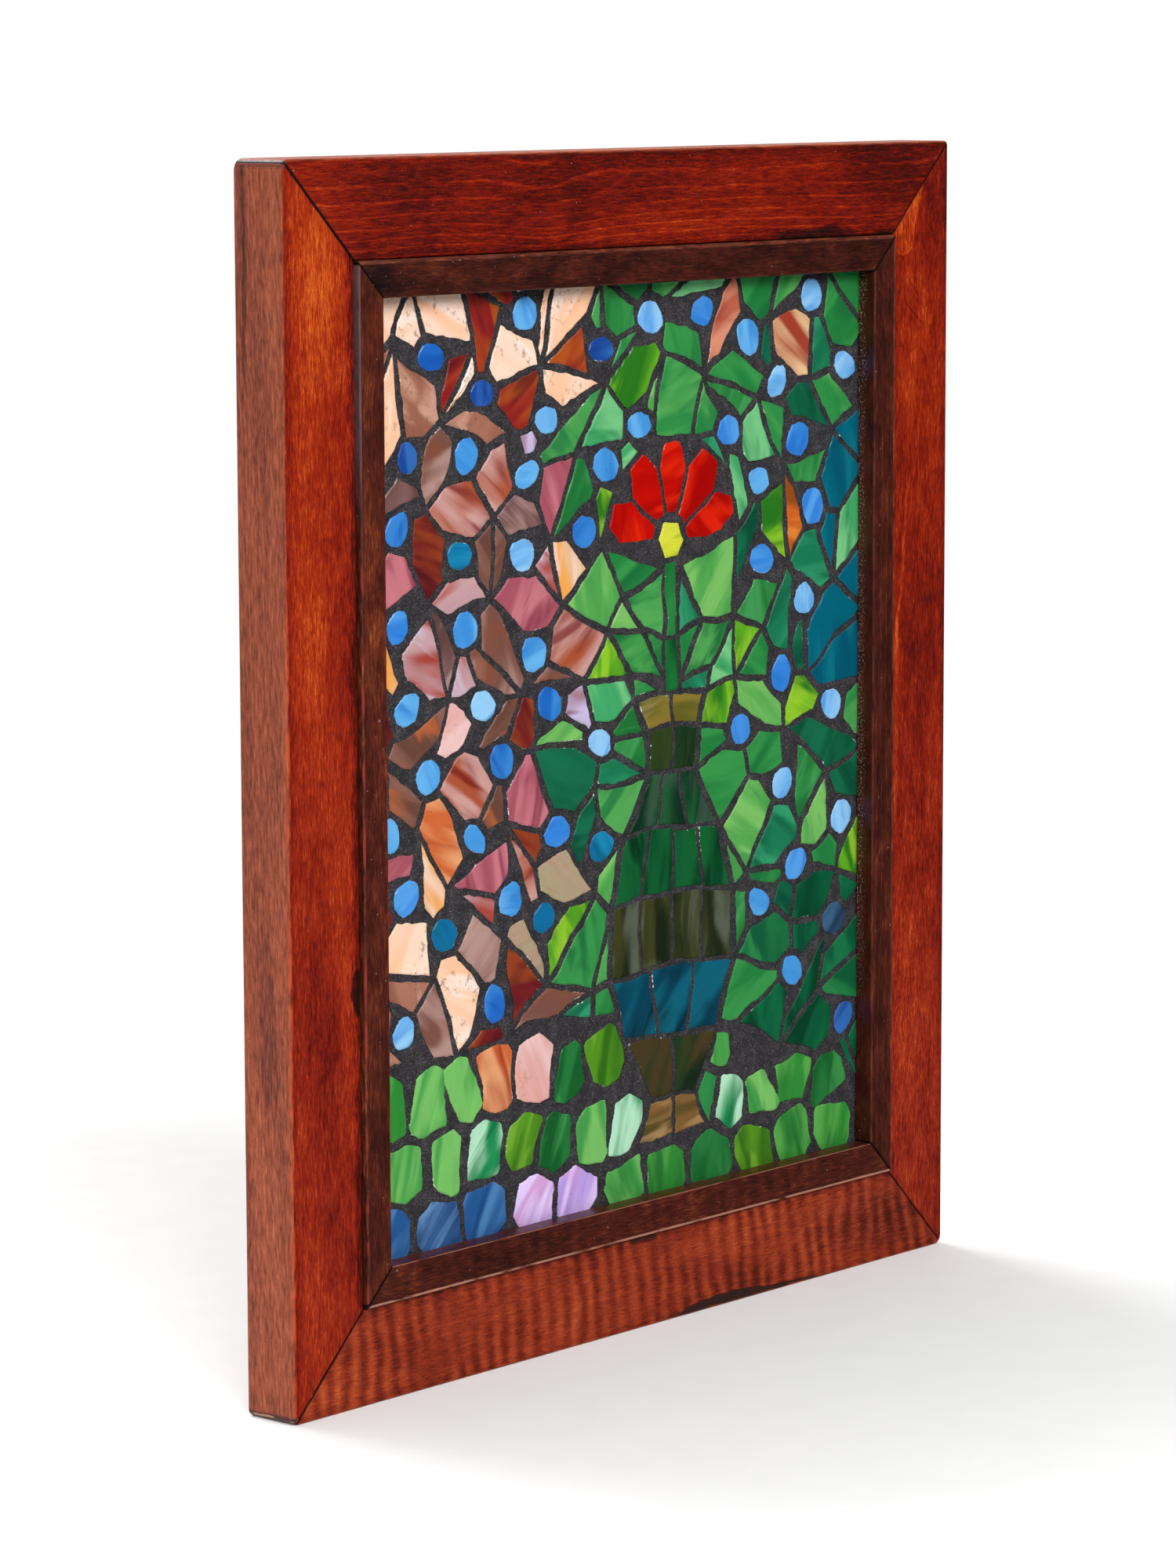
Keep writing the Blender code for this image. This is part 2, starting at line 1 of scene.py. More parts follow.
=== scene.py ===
# %% [markdown]
# A glass mosaic picture in a stained wooden frame, which hangs on a wall. The CAD model
# holds the true sizes. This script loads it as a fixed frame, and gives each piece the
# finer shape and the finish of the real one. Lengths are in metres, Z is up and the
# picture faces -Y.

# %% Load the CAD model
import random
from math import cos, pi, radians, sin

import bmesh
import bpy
from mathutils import Euler, Matrix, Vector, noise


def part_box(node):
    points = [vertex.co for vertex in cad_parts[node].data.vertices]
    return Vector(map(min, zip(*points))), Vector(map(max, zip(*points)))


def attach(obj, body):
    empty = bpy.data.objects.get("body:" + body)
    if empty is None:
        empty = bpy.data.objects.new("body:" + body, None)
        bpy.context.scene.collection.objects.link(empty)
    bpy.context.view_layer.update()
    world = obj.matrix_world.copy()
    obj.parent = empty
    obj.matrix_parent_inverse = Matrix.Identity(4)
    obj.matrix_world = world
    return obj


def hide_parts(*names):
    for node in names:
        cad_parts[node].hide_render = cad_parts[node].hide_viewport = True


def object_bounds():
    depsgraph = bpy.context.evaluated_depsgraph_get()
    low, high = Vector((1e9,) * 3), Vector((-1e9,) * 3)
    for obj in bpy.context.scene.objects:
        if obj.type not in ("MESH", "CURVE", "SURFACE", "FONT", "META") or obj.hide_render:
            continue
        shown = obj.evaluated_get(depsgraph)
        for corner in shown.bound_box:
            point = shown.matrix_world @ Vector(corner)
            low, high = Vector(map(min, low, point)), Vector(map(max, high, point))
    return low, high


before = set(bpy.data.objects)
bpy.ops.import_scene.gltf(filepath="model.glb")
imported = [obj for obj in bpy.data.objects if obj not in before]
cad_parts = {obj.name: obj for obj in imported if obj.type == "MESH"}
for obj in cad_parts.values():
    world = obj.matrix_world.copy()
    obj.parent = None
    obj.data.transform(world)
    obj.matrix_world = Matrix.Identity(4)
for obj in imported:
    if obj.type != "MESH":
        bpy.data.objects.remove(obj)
cad_low, cad_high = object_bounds()
print("CAD box in mm:", [round(1000 * size) for size in Vector(cad_high) - Vector(cad_low)])

# %% [markdown]
# The photograph looks at the picture from its left, a little from above, through a long
# lens. A camera could be placed by eye, but four corners of the frame fix it better: the
# numbers below come from fitting the frame's known corners to their places in the photo.

# %% Camera
camera_data = bpy.data.cameras.new("camera")
camera_data.lens = 122.1
camera_data.sensor_width = 36
camera = bpy.data.objects.new("camera", camera_data)
camera.location = (-1.691, -1.4585, 0.067)
camera.rotation_euler = Euler((radians(90 - 8.02), radians(0.17), radians(-49.19)))
bpy.context.scene.collection.objects.link(camera)
bpy.context.scene.camera = camera
bpy.context.scene.view_settings.view_transform = "Standard"
print("camera", [round(value, 3) for value in camera.location])

# %% [markdown]
# The studio is a pale room. The wall behind the picture is bright and puts a soft sheen
# on the frame's outer side. The room in front is dim, so that the varnish and the glass
# keep their deep colours, and two large soft lamps over the camera light the face. A
# plain sky of one colour would be simpler, but its reflection would grey the dark wood.

# %% Studio light
WALL_BEHIND = 0.85
ROOM_IN_FRONT = 0.04

world = bpy.data.worlds.new("studio")
world.use_nodes = True
bpy.context.scene.world = world
sky = world.node_tree.nodes
wires = world.node_tree.links
direction = sky.new("ShaderNodeTexCoord")
parts = sky.new("ShaderNodeSeparateXYZ")
turn = sky.new("ShaderNodeMapRange")
turn.inputs["From Min"].default_value = -0.15
turn.inputs["From Max"].default_value = 0.45
turn.inputs["To Min"].default_value = ROOM_IN_FRONT
turn.inputs["To Max"].default_value = WALL_BEHIND
rays = sky.new("ShaderNodeLightPath")
seen = sky.new("ShaderNodeMix")
seen.inputs["B"].default_value = 1.0
wires.new(direction.outputs["Generated"], parts.inputs["Vector"])
wires.new(parts.outputs["Y"], turn.inputs["Value"])
wires.new(turn.outputs["Result"], seen.inputs["A"])
wires.new(rays.outputs["Is Camera Ray"], seen.inputs["Factor"])
wires.new(seen.outputs["Result"], sky["Background"].inputs["Strength"])
sky["Background"].inputs["Color"].default_value = (1, 1, 1, 1)


def soft_lamp(name, place, size, power, target=Vector((0, 0, -0.23))):
    """A square lamp that faces the picture."""
    lamp = bpy.data.lights.new(name, "AREA")
    lamp.size = size
    lamp.energy = power
    stand = bpy.data.objects.new(name, lamp)
    stand.location = place
    stand.rotation_euler = (target - Vector(place)).to_track_quat("-Z", "Y").to_euler()
    bpy.context.scene.collection.objects.link(stand)
    return stand


soft_lamp("key_lamp", (-1.5, -1.9, 1.4), 1.3, 60)
soft_lamp("front_lamp", (0.1, -2.4, 1.1), 1.2, 43)
soft_lamp("floor_lamp", (0.1, 1.5, 1.6), 1.4, 40, Vector((-0.4, 0.5, -0.48)))
print("lamps", [lamp.name for lamp in bpy.data.lights])

# %% [markdown]
# The shader helper. Materials are node trees, and a tree is hard to read as a list of
# links. So one small class wraps a socket, and plain arithmetic on it adds the Math
# nodes; one method makes every other node.

# %% Shader helper
class Wire:
    """A value in a node tree. Arithmetic on it adds Math nodes."""

    def __init__(self, finish, socket):
        self.finish = finish
        self.socket = socket

    def math(self, operation, *values):
        settings = {"operation": operation}
        return self.finish.node("ShaderNodeMath", settings, dict(enumerate(values)))

    def __add__(self, other):
        return self.math("ADD", self, other)

    def __sub__(self, other):
        return self.math("SUBTRACT", self, other)

    def __mul__(self, other):
        return self.math("MULTIPLY", self, other)

    def __truediv__(self, other):
        return self.math("DIVIDE", self, other)

    def __pow__(self, other):
        return self.math("POWER", self, other)

    def __rsub__(self, other):
        return self.math("SUBTRACT", other, self)

    def __neg__(self):
        return self.math("MULTIPLY", self, -1)

    __radd__ = __add__
    __rmul__ = __mul__


class Finish:
    """A material, and the nodes that give a piece its look."""

    def __init__(self, name):
        self.material = bpy.data.materials.new(name)
        self.material.use_nodes = True
        self.tree = self.material.node_tree
        self.tree.nodes.clear()

    def node(self, kind, settings=None, sockets=None, out=0):
        """A node: its settings first, then its sockets. out names the outputs wanted."""
        made = self.tree.nodes.new(kind)
        for name, value in (settings or {}).items():
            if name == "stops":
                self.set_stops(made.color_ramp, value)
            else:
                setattr(made, name, value)
        for key, value in (sockets or {}).items():
            if isinstance(value, Wire):
                self.tree.links.new(value.socket, made.inputs[key])
            else:
                made.inputs[key].default_value = value
        if isinstance(out, tuple):
            return [Wire(self, made.outputs[key]) for key in out]
        return None if out is None else Wire(self, made.outputs[out])

    @staticmethod
    def set_stops(ramp, stops):
        while len(ramp.elements) < len(stops):
            ramp.elements.new(0.5)
        for element, (position, colour) in zip(ramp.elements, stops):
            element.position = position
            element.color = colour

    def place(self):
        """The point of the surface, in metres in the model's own frame."""
        return self.node("ShaderNodeTexCoord", out="Object")

    def split(self, vector):
        return self.node("ShaderNodeSeparateXYZ", {}, {0: vector}, out=("X", "Y", "Z"))

    def join(self, x, y, z):
        return self.node("ShaderNodeCombineXYZ", {}, {0: x, 1: y, 2: z})

    def scaled(self, vector, scale, offset=(0, 0, 0)):
        sockets = {"Vector": vector, "Scale": scale, "Location": offset}
        return self.node("ShaderNodeMapping", {}, sockets)

    def cloud(self, vector, scale=1.0, detail=2.0, rough=0.5, warp=0.0, out=0):
        """Soft noise from 0 to 1."""
        sockets = {"Vector": vector, "Scale": scale, "Detail": detail}
        sockets.update({"Roughness": rough, "Distortion": warp})
        return self.node("ShaderNodeTexNoise", {}, sockets, out)

    def soft(self, value, low, high):
        """0 below low, 1 above high, and a smooth step between."""
        sockets = {"Value": value, "From Min": low, "From Max": high}
        settings = {"interpolation_type": "SMOOTHSTEP"}
        return self.node("ShaderNodeMapRange", settings, sockets)

    def blend(self, first, second, share, mode="MIX"):
        """Two colours mixed by share."""
        settings = {"data_type": "RGBA", "blend_type": mode}
        return self.node("ShaderNodeMix", settings, {0: share, 6: first, 7: second}, 2)

    def ramp(self, value, stops):
        return self.node("ShaderNodeValToRGB", {"stops": stops}, {0: value})

    def bump(self, height, distance, strength=1.0):
        sockets = {"Height": height, "Distance": distance, "Strength": strength}
        return self.node("ShaderNodeBump", {}, sockets)

    def surface(self, **sockets):
        """The shader itself, with sockets named in lower case with underscores."""
        named = {key.replace("_", " ").title(): value for key, value in sockets.items()}
        if "Ior" in named:
            named["IOR"] = named.pop("Ior")
        if "Specular Ior Level" in named:
            named["Specular IOR Level"] = named.pop("Specular Ior Level")
        shader = self.node("ShaderNodeBsdfPrincipled", {}, named)
        self.node("ShaderNodeOutputMaterial", {}, {"Surface": shader}, out=None)
        return self.material


def ink(red, green, blue):
    """A colour in screen values, 0 to 255, as the shader's linear colour."""
    parts = [value / 255 for value in (red, green, blue)]
    linear = [p / 12.92 if p < 0.04045 else ((p + 0.055) / 1.055) ** 2.4 for p in parts]
    return (*linear, 1.0)


# %% [markdown]
# The floor is plain and pale. It only has to catch a faint shadow, so one round sheet of
# matt white does. The varnish and the glass would mirror it and turn grey, as if a white
# card lay under them. A photographer would lay a dark cloth there, and here the floor is
# simply left out of the mirrored rays.

# %% Floor
FLOOR_RADIUS = 0.95

floor_mesh = bmesh.new()
bmesh.ops.create_circle(floor_mesh, cap_ends=True, radius=FLOOR_RADIUS, segments=96)
bmesh.ops.translate(floor_mesh, vec=(0, 0, cad_low[2]), verts=floor_mesh.verts)
floor_data = bpy.data.meshes.new("floor")
floor_mesh.to_mesh(floor_data)
floor = bpy.data.objects.new("floor", floor_data)
bpy.context.scene.collection.objects.link(floor)
floor_finish = Finish("floor_white")
speckle = floor_finish.cloud(floor_finish.place(), 40.0)
floor_white = floor_finish.ramp(speckle, [(0.3, (0.9, 0.9, 0.9, 1)), (0.7, (0.92, 0.92, 0.92, 1))])
floor_data.materials.append(floor_finish.surface(base_color=floor_white, roughness=0.9))
floor.visible_glossy = False
print("floor at", round(cad_low[2], 3))

# %% [markdown]
# The frame was made from four lengths of moulding, mitred at 45 degrees. Four boxes cut
# at an angle would do, but then the rounded corners would not meet. So one whole ring is
# made and rounded first, and each rail is what is left of a copy after two cuts. The
# planes leave a hair of a gap, which shows as the thin dark line of each mitre.

# %% Helpers for the frame ring
MITRE_GAP = 0.0003
RAIL_FACE = 0.040
CENTRE = Vector((0, 0, (cad_low[2] + cad_high[2]) / 2))
FRAME_HALF = Vector(((cad_high[0] - cad_low[0]) / 2, (cad_high[2] - cad_low[2]) / 2))
OUTWARD = {
    "top": Vector((0, 0, 1)),
    "bottom": Vector((0, 0, -1)),
    "left": Vector((-1, 0, 0)),
    "right": Vector((1, 0, 0)),
}


def edges_where(mesh, test):
    """The edges whose middle and direction pass a test."""
    found = []
    for edge in mesh.edges:
        ends = [vert.co for vert in edge.verts]
        if test((ends[0] + ends[1]) / 2 - CENTRE, (ends[1] - ends[0]).normalized()):
            found.append(edge)
    return found


def rounded(mesh, edges, radius, segments):
    bmesh.ops.bevel(
        mesh,
        geom=edges,
        offset=radius,
        affect="EDGES",
        segments=segments,
        profile=0.5,
        material=-1,
        clamp_overlap=True,
    )


def ring(half, face, back, front):
    """A flat frame ring, with its outer half sizes, the width of its face and depths."""
    mesh = bmesh.new()
    upright = Matrix.Rotation(radians(90), 4, "X")
    bmesh.ops.create_grid(mesh, x_segments=1, y_segments=1, size=1, matrix=upright)
    bmesh.ops.scale(mesh, vec=(half.x, 1, half.y), verts=mesh.verts)
    bmesh.ops.translate(mesh, vec=CENTRE + Vector((0, back, 0)), verts=mesh.verts)
    opening = mesh.faces[:]
    bmesh.ops.inset_individual(mesh, faces=opening, thickness=face, use_even_offset=True)
    bmesh.ops.delete(mesh, geom=opening, context="FACES")
    pushed = bmesh.ops.extrude_face_region(mesh, geom=mesh.faces[:])["geom"]
    fronts = [item for item in pushed if isinstance(item, bmesh.types.BMVert)]
    bmesh.ops.translate(mesh, vec=(0, front - back, 0), verts=fronts)
    bmesh.ops.recalc_face_normals(mesh, faces=mesh.faces)
    return mesh


def long_edges(mesh, half, y, outer, face):
    """The edges at depth y round the outside of a ring, or round its opening."""
    middle = half - Vector((face, face)) / 2

    def test(point, direction):
        outside = abs(point.x) > middle.x or abs(point.z) > middle.y
        flat = abs(direction.y) < 0.1
        diagonal = abs(abs(direction.x) - abs(direction.z)) < 0.01 and outer is None
        return abs(point.y - y) < 1e-6 and flat and outside == outer and not diagonal

    edges = edges_where(mesh, test)
    return [edge for edge in edges if edge.calc_face_angle(0) > radians(40)]


def quarter(mesh, half, outward):
    """What is left of a ring's copy between its two mitres on one side."""
    side = mesh.copy()
    along = Vector((abs(outward.z), 0, abs(outward.x)))
    reach = Vector((half.x, 0, half.y))
    for way in (-1, 1):
        corner = CENTRE + outward * abs(reach.dot(outward)) + along * way * reach.dot(along)
        normal = (along * way - outward).normalized()
        bmesh.ops.bisect_plane(
            side,
            geom=side.verts[:] + side.edges[:] + side.faces[:],
            plane_co=corner - normal * MITRE_GAP / 2,
            plane_no=normal,
            clear_outer=True,
        )
        open_edges = [edge for edge in side.edges if edge.is_boundary]
        bmesh.ops.holes_fill(side, edges=open_edges, sides=0)
    bmesh.ops.recalc_face_normals(side, faces=side.faces)
    return side


def put(mesh, name, material, nodes):
    """Turns a mesh into a piece of the object that stands for its CAD nodes."""
    bmesh.ops.recalc_face_normals(mesh, faces=mesh.faces)
    data = bpy.data.meshes.new(name)
    mesh.to_mesh(data)
    mesh.free()
    data.materials.append(material)
    piece = bpy.data.objects.new(name, data)
    bpy.context.scene.collection.objects.link(piece)
    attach(piece, "root")
    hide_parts(*nodes)
    return piece


# %% [markdown]
# The rails are stained maple or birch under a thin varnish. The stain takes unevenly: it
# pools dark in the pores, follows the growth lines on the top rail, and shows a curled,
# striped figure on the bottom one. One function makes all four: it adds up a single tone
# from broad clouds, fibres, pores, growth lines, curl and a few blots, and a colour ramp
# turns that tone into stain. Its pattern runs in each rail's own directions: along the
# grain, across the face from the inside out, and forward from the back.

# %% Stained wood
STAIN = [
    (0.00, ink(28, 8, 6)),
    (0.25, ink(74, 8, 3)),
    (0.48, ink(120, 20, 3)),
    (0.70, ink(152, 42, 6)),
    (1.00, ink(206, 96, 28)),
]
BROWN_STAIN = [
    (0.00, ink(48, 28, 24)),
    (0.25, ink(80, 20, 8)),
    (0.48, ink(122, 38, 18)),
    (0.70, ink(152, 57, 24)),
    (1.00, ink(188, 90, 42)),
]
DARK_STAIN = [
    (0.00, ink(16, 6, 6)),
    (0.35, ink(48, 14, 9)),
    (0.60, ink(74, 26, 14)),
    (0.85, ink(112, 48, 22)),
    (1.00, ink(150, 80, 42)),
]
BARE_WOOD = ink(190, 148, 112)
DROP = (0.2085, 0.0075, 0.0078, 0.33)


def strip_space(finish, outward, inner):
    """Along, across and forward in metres: across is 0 at the strip's inner edge."""
    x, y, z = finish.split(finish.place())
    height = z - CENTRE.z
    if outward.x:
        return height, x * outward.x - inner.x, -y
    return x * 1.0, height * outward.z - inner.y, -y


def blot(finish, along, across, centre, size, seed, edge=0.45, ragged=0.9):
    """A soft patch of its own half length and half width, with an uneven edge."""
    one = (along - centre[0]) / size[0]
    two = (across - centre[1]) / size[1]
    wobble = finish.cloud(finish.join(along * 160, across * 260, seed), 1.0, 3.0) - 0.5
    distance = (one * one + two * two) ** 0.5 + wobble * ragged
    return finish.soft(distance, 1.0 + edge / 2, 1.0 - edge)


def drop(finish, along, across):
    """How far a point is from the middle of a drop that leans to its tip: 1 at its edge."""
    start, middle, reach, lean = DROP
    below = along.math("MINIMUM", along - start, 0)
    above = along.math("MAXIMUM", along - start - reach / 2, 0)
    aside = across - middle - above * lean
    return (below * below + aside * aside) ** 0.5 / reach


def line_between(finish, along, across, first, last, width):
    """A thin, unsteady line from one point of the face to another."""
    way = Vector(last) - Vector(first)
    run = way.normalized()
    far = (along - first[0]) * run.x + (across - first[1]) * run.y
    off = (across - first[1]) * run.x - (along - first[0]) * run.y
    fine = 0.16 / width
    wobble = finish.cloud(finish.join(along * fine, across * fine, 5.0), 1.0, 2.0) - 0.5
    middle = (far - way.length / 2).math("ABSOLUTE", far - way.length / 2)
    thin = off.math("ABSOLUTE", off + wobble * width * 3)
    return finish.soft(thin, width, width / 4) * finish.soft(middle, way.length / 2, way.length / 3)


def stained_wood(name, outward, half, face, front, stops, look, seed):
    """Stained wood for one side of the frame. look holds the strength of each layer."""
    finish = Finish(name)
    inner = half - Vector((face, face))
    along, across, forward = strip_space(finish, outward, inner)
    grain = finish.join(along, across, forward + seed * 0.37)

    broad = finish.cloud(finish.scaled(grain, (9, 30, 30)), 1.0, 2.0)
    mottle = finish.cloud(finish.scaled(grain, (60, 110, 110)), 1.0, 3.0, 0.6)
    fibre = finish.cloud(finish.scaled(grain, (110, 900, 900)), 1.0, 3.0, 0.7)
    hair = finish.cloud(finish.scaled(grain, (230, 2300, 2300)), 1.0, 2.0, 0.6)
    fleck = finish.cloud(finish.scaled(grain, (420, 2000, 2000)), 1.0, 2.0, 0.6)
    pore = finish.soft(fleck, 0.56, 0.66)
    tone = look.get("base", 0.48) + (broad - 0.5) * look.get("broad", 0.5)
    tone = tone + (mottle - 0.5) * look.get("mottle", 0.4)
    tone = tone + (fibre - 0.5) * look.get("fibre", 0.7) - pore * look.get("pore", 0.16)
    tone = tone + (hair - 0.5) * look.get("hair", 0.7)
    tone = tone + finish.soft(fleck, 0.43, 0.34) * look.get("pore", 0.16) * 0.7

    if "lines" in look:
        sway = finish.cloud(finish.scaled(grain, (6, 11, 11)), 1.0, 2.0)
        jitter = finish.cloud(finish.scaled(grain, (70, 100, 100)), 1.0, 3.0)
        away = along.math("ABSOLUTE", along - look.get("dip", 9.0))
        bent = sway * 2.6 + jitter * 0.3 + finish.soft(away, 0.040, 0.0) * 0.5
        wave = across * look["lines_per_metre"] - across * across * look["widening"] + bent
        rise = wave.math("FRACT", wave)
        thin = finish.soft(rise, 0.74, 0.93) * finish.soft(rise, 1.0, 0.95)
        patchy = finish.cloud(finish.scaled(grain, (24, 90, 90), (2, 0, 0)), 1.0, 2.0)
        tone = tone + thin * finish.soft(patchy, 0.32, 0.52) * look["lines"]
        tone = tone + (rise - 0.5) * look["lines"] * 0.35
    if "curl" in look:
        sway = finish.cloud(finish.scaled(grain, (20, 18, 18)), 1.0, 3.0)
        patchy = finish.cloud(finish.scaled(grain, (20, 40, 40), (3, 0, 0)), 1.0, 3.0)
        wave = (along * 104 + sway * 2.0 + mottle * 0.15 - across * 11) * 2 * pi
        band = wave.math("SINE", wave) * finish.soft(patchy, 0.26, 0.60)
        tone = tone + band * look["curl"]
    for number, (centre, size, change, *edges) in enumerate(look.get("blots", [])):
        patch = blot(finish, along, across, centre, size, seed + number * 3.1, *edges)
        tone = tone + patch * change
    for first, last, width, change in look.get("marks", []):
        tone = tone + line_between(finish, along, across, first, last, width) * change
    if look.get("drop"):
        distance = drop(finish, along, across) + (mottle - 0.5) * 0.12
        edge = distance.math("ABSOLUTE", distance - 1.0)
        tone = tone + finish.soft(distance, 1.03, 0.95) * 0.15 + finish.soft(edge, 0.09, 0.02) * 0.12

    ragged = (mottle - 0.5) * 0.006
    edge_dark = finish.soft(across + ragged, face * 0.88, face) * look.get("outer_dark", 0.12)
    close = finish.soft(across + ragged + (hair - 0.5) * 0.006, face * 0.13, 0.0)
    tone = tone - edge_dark - close * look.get("inner_dark", 0.1)
    colour = finish.ramp(tone, stops)

    side = finish.soft(across, face - 0.0010, face - 0.0001)
    leaning = finish.join(along, across, forward + along * 0.03 + seed * 0.37)
    dash = finish.cloud(finish.scaled(leaning, (130, 900, 900)), 1.0, 2.0, 0.6)
    streak = finish.cloud(finish.scaled(leaning, (12, 60, 190)), 1.0, 3.0)
    side_tone = look.get("side_base", 0.60) + (dash - 0.5) * 1.4 + (hair - 0.5) * 0.5
    side_tone = side_tone + (streak - 0.5) * 0.6 - pore * 0.12
    for level, height, depth, width, change in look.get("side_blots", []):
        beside = forward.math("ABSOLUTE", forward - depth + (streak - 0.5) * 0.004)
        reach = along.math("ABSOLUTE", along - level)
        ragged_end = reach + (streak - 0.5) * height
        side_tone = side_tone + finish.soft(beside, width, 0.0) * (
            finish.soft(ragged_end, height, height * 0.6) * change)
    side_colour = finish.ramp(side_tone, look.get("side_stops", stops))
    # Painted sheen: where a look asks for it, the upper part of the outer side is blended towards a pale
    # grey-violet that stands for the reflection of the bright wall.
    if "painted_side_sheen" in look:
        painted_sheen = finish.soft(along, 0.10, 0.15) * finish.soft(mottle, 0.3, 0.5)
        side_colour = finish.blend(side_colour, look["painted_side_sheen"], painted_sheen * 0.5)
    colour = finish.blend(colour, side_colour, side)

    # Arris lines: a thin line of colour along the front arrises, broken up by noise, which can stop
    # above a given height. It is wear, and on the bottom lip it is also a painted highlight where the
    # lower arris catches the light.
    width = look.get("arris_line_width", 0.0016)
    corner = finish.soft(across, face - width, face - width * 0.55)
    if "inner_worn" in look:
        inner_arris = finish.soft(across, width, width * 0.55) * look["inner_worn"]
        corner = corner.math("MAXIMUM", corner, inner_arris)
    corner = corner * finish.soft(forward, front - width, front - width * 0.55)
    corner = corner * finish.soft(along, look.get("arris_line_below", 9.0), look.get("arris_line_below", 9.0) - 0.05)
    arris_line_breakup = finish.cloud(finish.scaled(grain, (70, 200, 200)), 1.0, 3.0)
    arris_line_from = look.get("arris_line_from", 0.42)
    arris_wear_and_highlight = corner * finish.soft(arris_line_breakup, arris_line_from, arris_line_from + 0.18) * look.get("arris_wear_and_highlight", 0.35)
    colour = finish.blend(colour, look.get("arris_wear_and_highlight_colour", ink(176, 66, 26)), arris_wear_and_highlight)

    rebate = finish.soft(across, 0.0004, 0.0001) * finish.soft(forward, 0.0160, 0.0150)
    behind = rebate.math("MAXIMUM", finish.soft(forward, 0.0012, 0.0002), rebate)
    rough_cut = finish.cloud(finish.scaled(grain, (60, 420, 420)), 1.0, 4.0, 0.6)
    back_colour = finish.ramp(rough_cut, [(0.3, ink(96, 58, 38)), (0.7, ink(158, 112, 76))])
    colour = finish.blend(colour, back_colour, behind)

    end = half.y if outward.x else half.x
    to_mitre = (end - along.math("ABSOLUTE", along)) - (face - across)
    open_at = finish.soft(along, 0.0, -0.1) * look.get("seam_open", 0.0)
    seam = finish.soft(to_mitre + (mottle - 0.5) * 0.001 - open_at, 0.0013, 0.0005)
    colour = finish.blend(colour, ink(20, 8, 8), seam * look.get("seam", 0.85))

    dull = side * 0.2 + behind * 0.3 + arris_wear_and_highlight * 0.15
    if look.get("chip"):
        # On the left rail the outer side is darker and rougher for its top few millimetres, and the
        # whole rail is darker for its lowest few millimetres.
        cap = finish.soft(along + (mottle - 0.5) * 0.001, half.y - 0.0042, half.y - 0.0020)
        colour = finish.blend(colour, ink(46, 26, 22), cap * side * 0.85)
        dull = dull + cap * 0.3
        low = along + half.y + (mottle - 0.5) * 0.0016
        colour = finish.blend(colour, ink(62, 34, 28), finish.soft(low, 0.0036, 0.0022) * 0.85)
        beside = forward.math("ABSOLUTE", forward - 0.0085)
        level = low.math("ABSOLUTE", low - 0.0016)
        chip = finish.soft(beside, 0.0062, 0.0045) * finish.soft(level, 0.0007, 0.0003)
        colour = finish.blend(colour, BARE_WOOD, chip * 0.9)
        glue = finish.soft(across, face * 0.70, face * 0.76) * finish.soft(along, -0.2, -0.21)
        line = to_mitre.math("ABSOLUTE", to_mitre - 0.0008)
        glue = glue * finish.soft(line, 0.0004, 0.0001) * finish.soft(mottle, 0.4, 0.5)
        colour = finish.blend(colour, BARE_WOOD, glue * 0.8)
    if "grit" in look:
        near = finish.soft(forward + (mottle - 0.5) * 0.005, 0.0245, 0.0205)
        grain_of_sand = finish.cloud(finish.place(), 1100.0, 2.0, 0.7)
        sandy = finish.soft(across, 0.0006, 0.0001) * finish.soft(grain_of_sand, 0.54, 0.64)
        sandy = sandy * finish.soft(along + (broad - 0.5) * 0.2, -0.16, -0.06)
        colour = finish.blend(colour, ink(158, 138, 118), sandy * near * look["grit"])

    if look.get("dust"):
        specks = finish.soft(finish.cloud(finish.place(), 620.0, 1.0, 0.5), 0.765, 0.80)
        colour = finish.blend(colour, ink(168, 150, 150), specks * look["dust"])

    rough = look.get("rough", 0.33) + (mottle - 0.5) * 0.14 + pore * 0.1 + dull
    height = fibre * 0.5 - pore * 0.6 + rough_cut * behind
    return finish.surface(
        base_color=colour,
        roughness=rough,
        normal=finish.bump(height, 0.00012, 0.5),
        specular_ior_level=0.3,
    )


# %% [markdown]
# The four rails. The photograph shows each with its own board: the left one is bright
# and plain, the top one deep red with flowing growth lines and a dark stain near the
# lip, the right one plain with an orange patch at its upper mitre, and the bottom one
# striped, with a black burn along its lower edge.

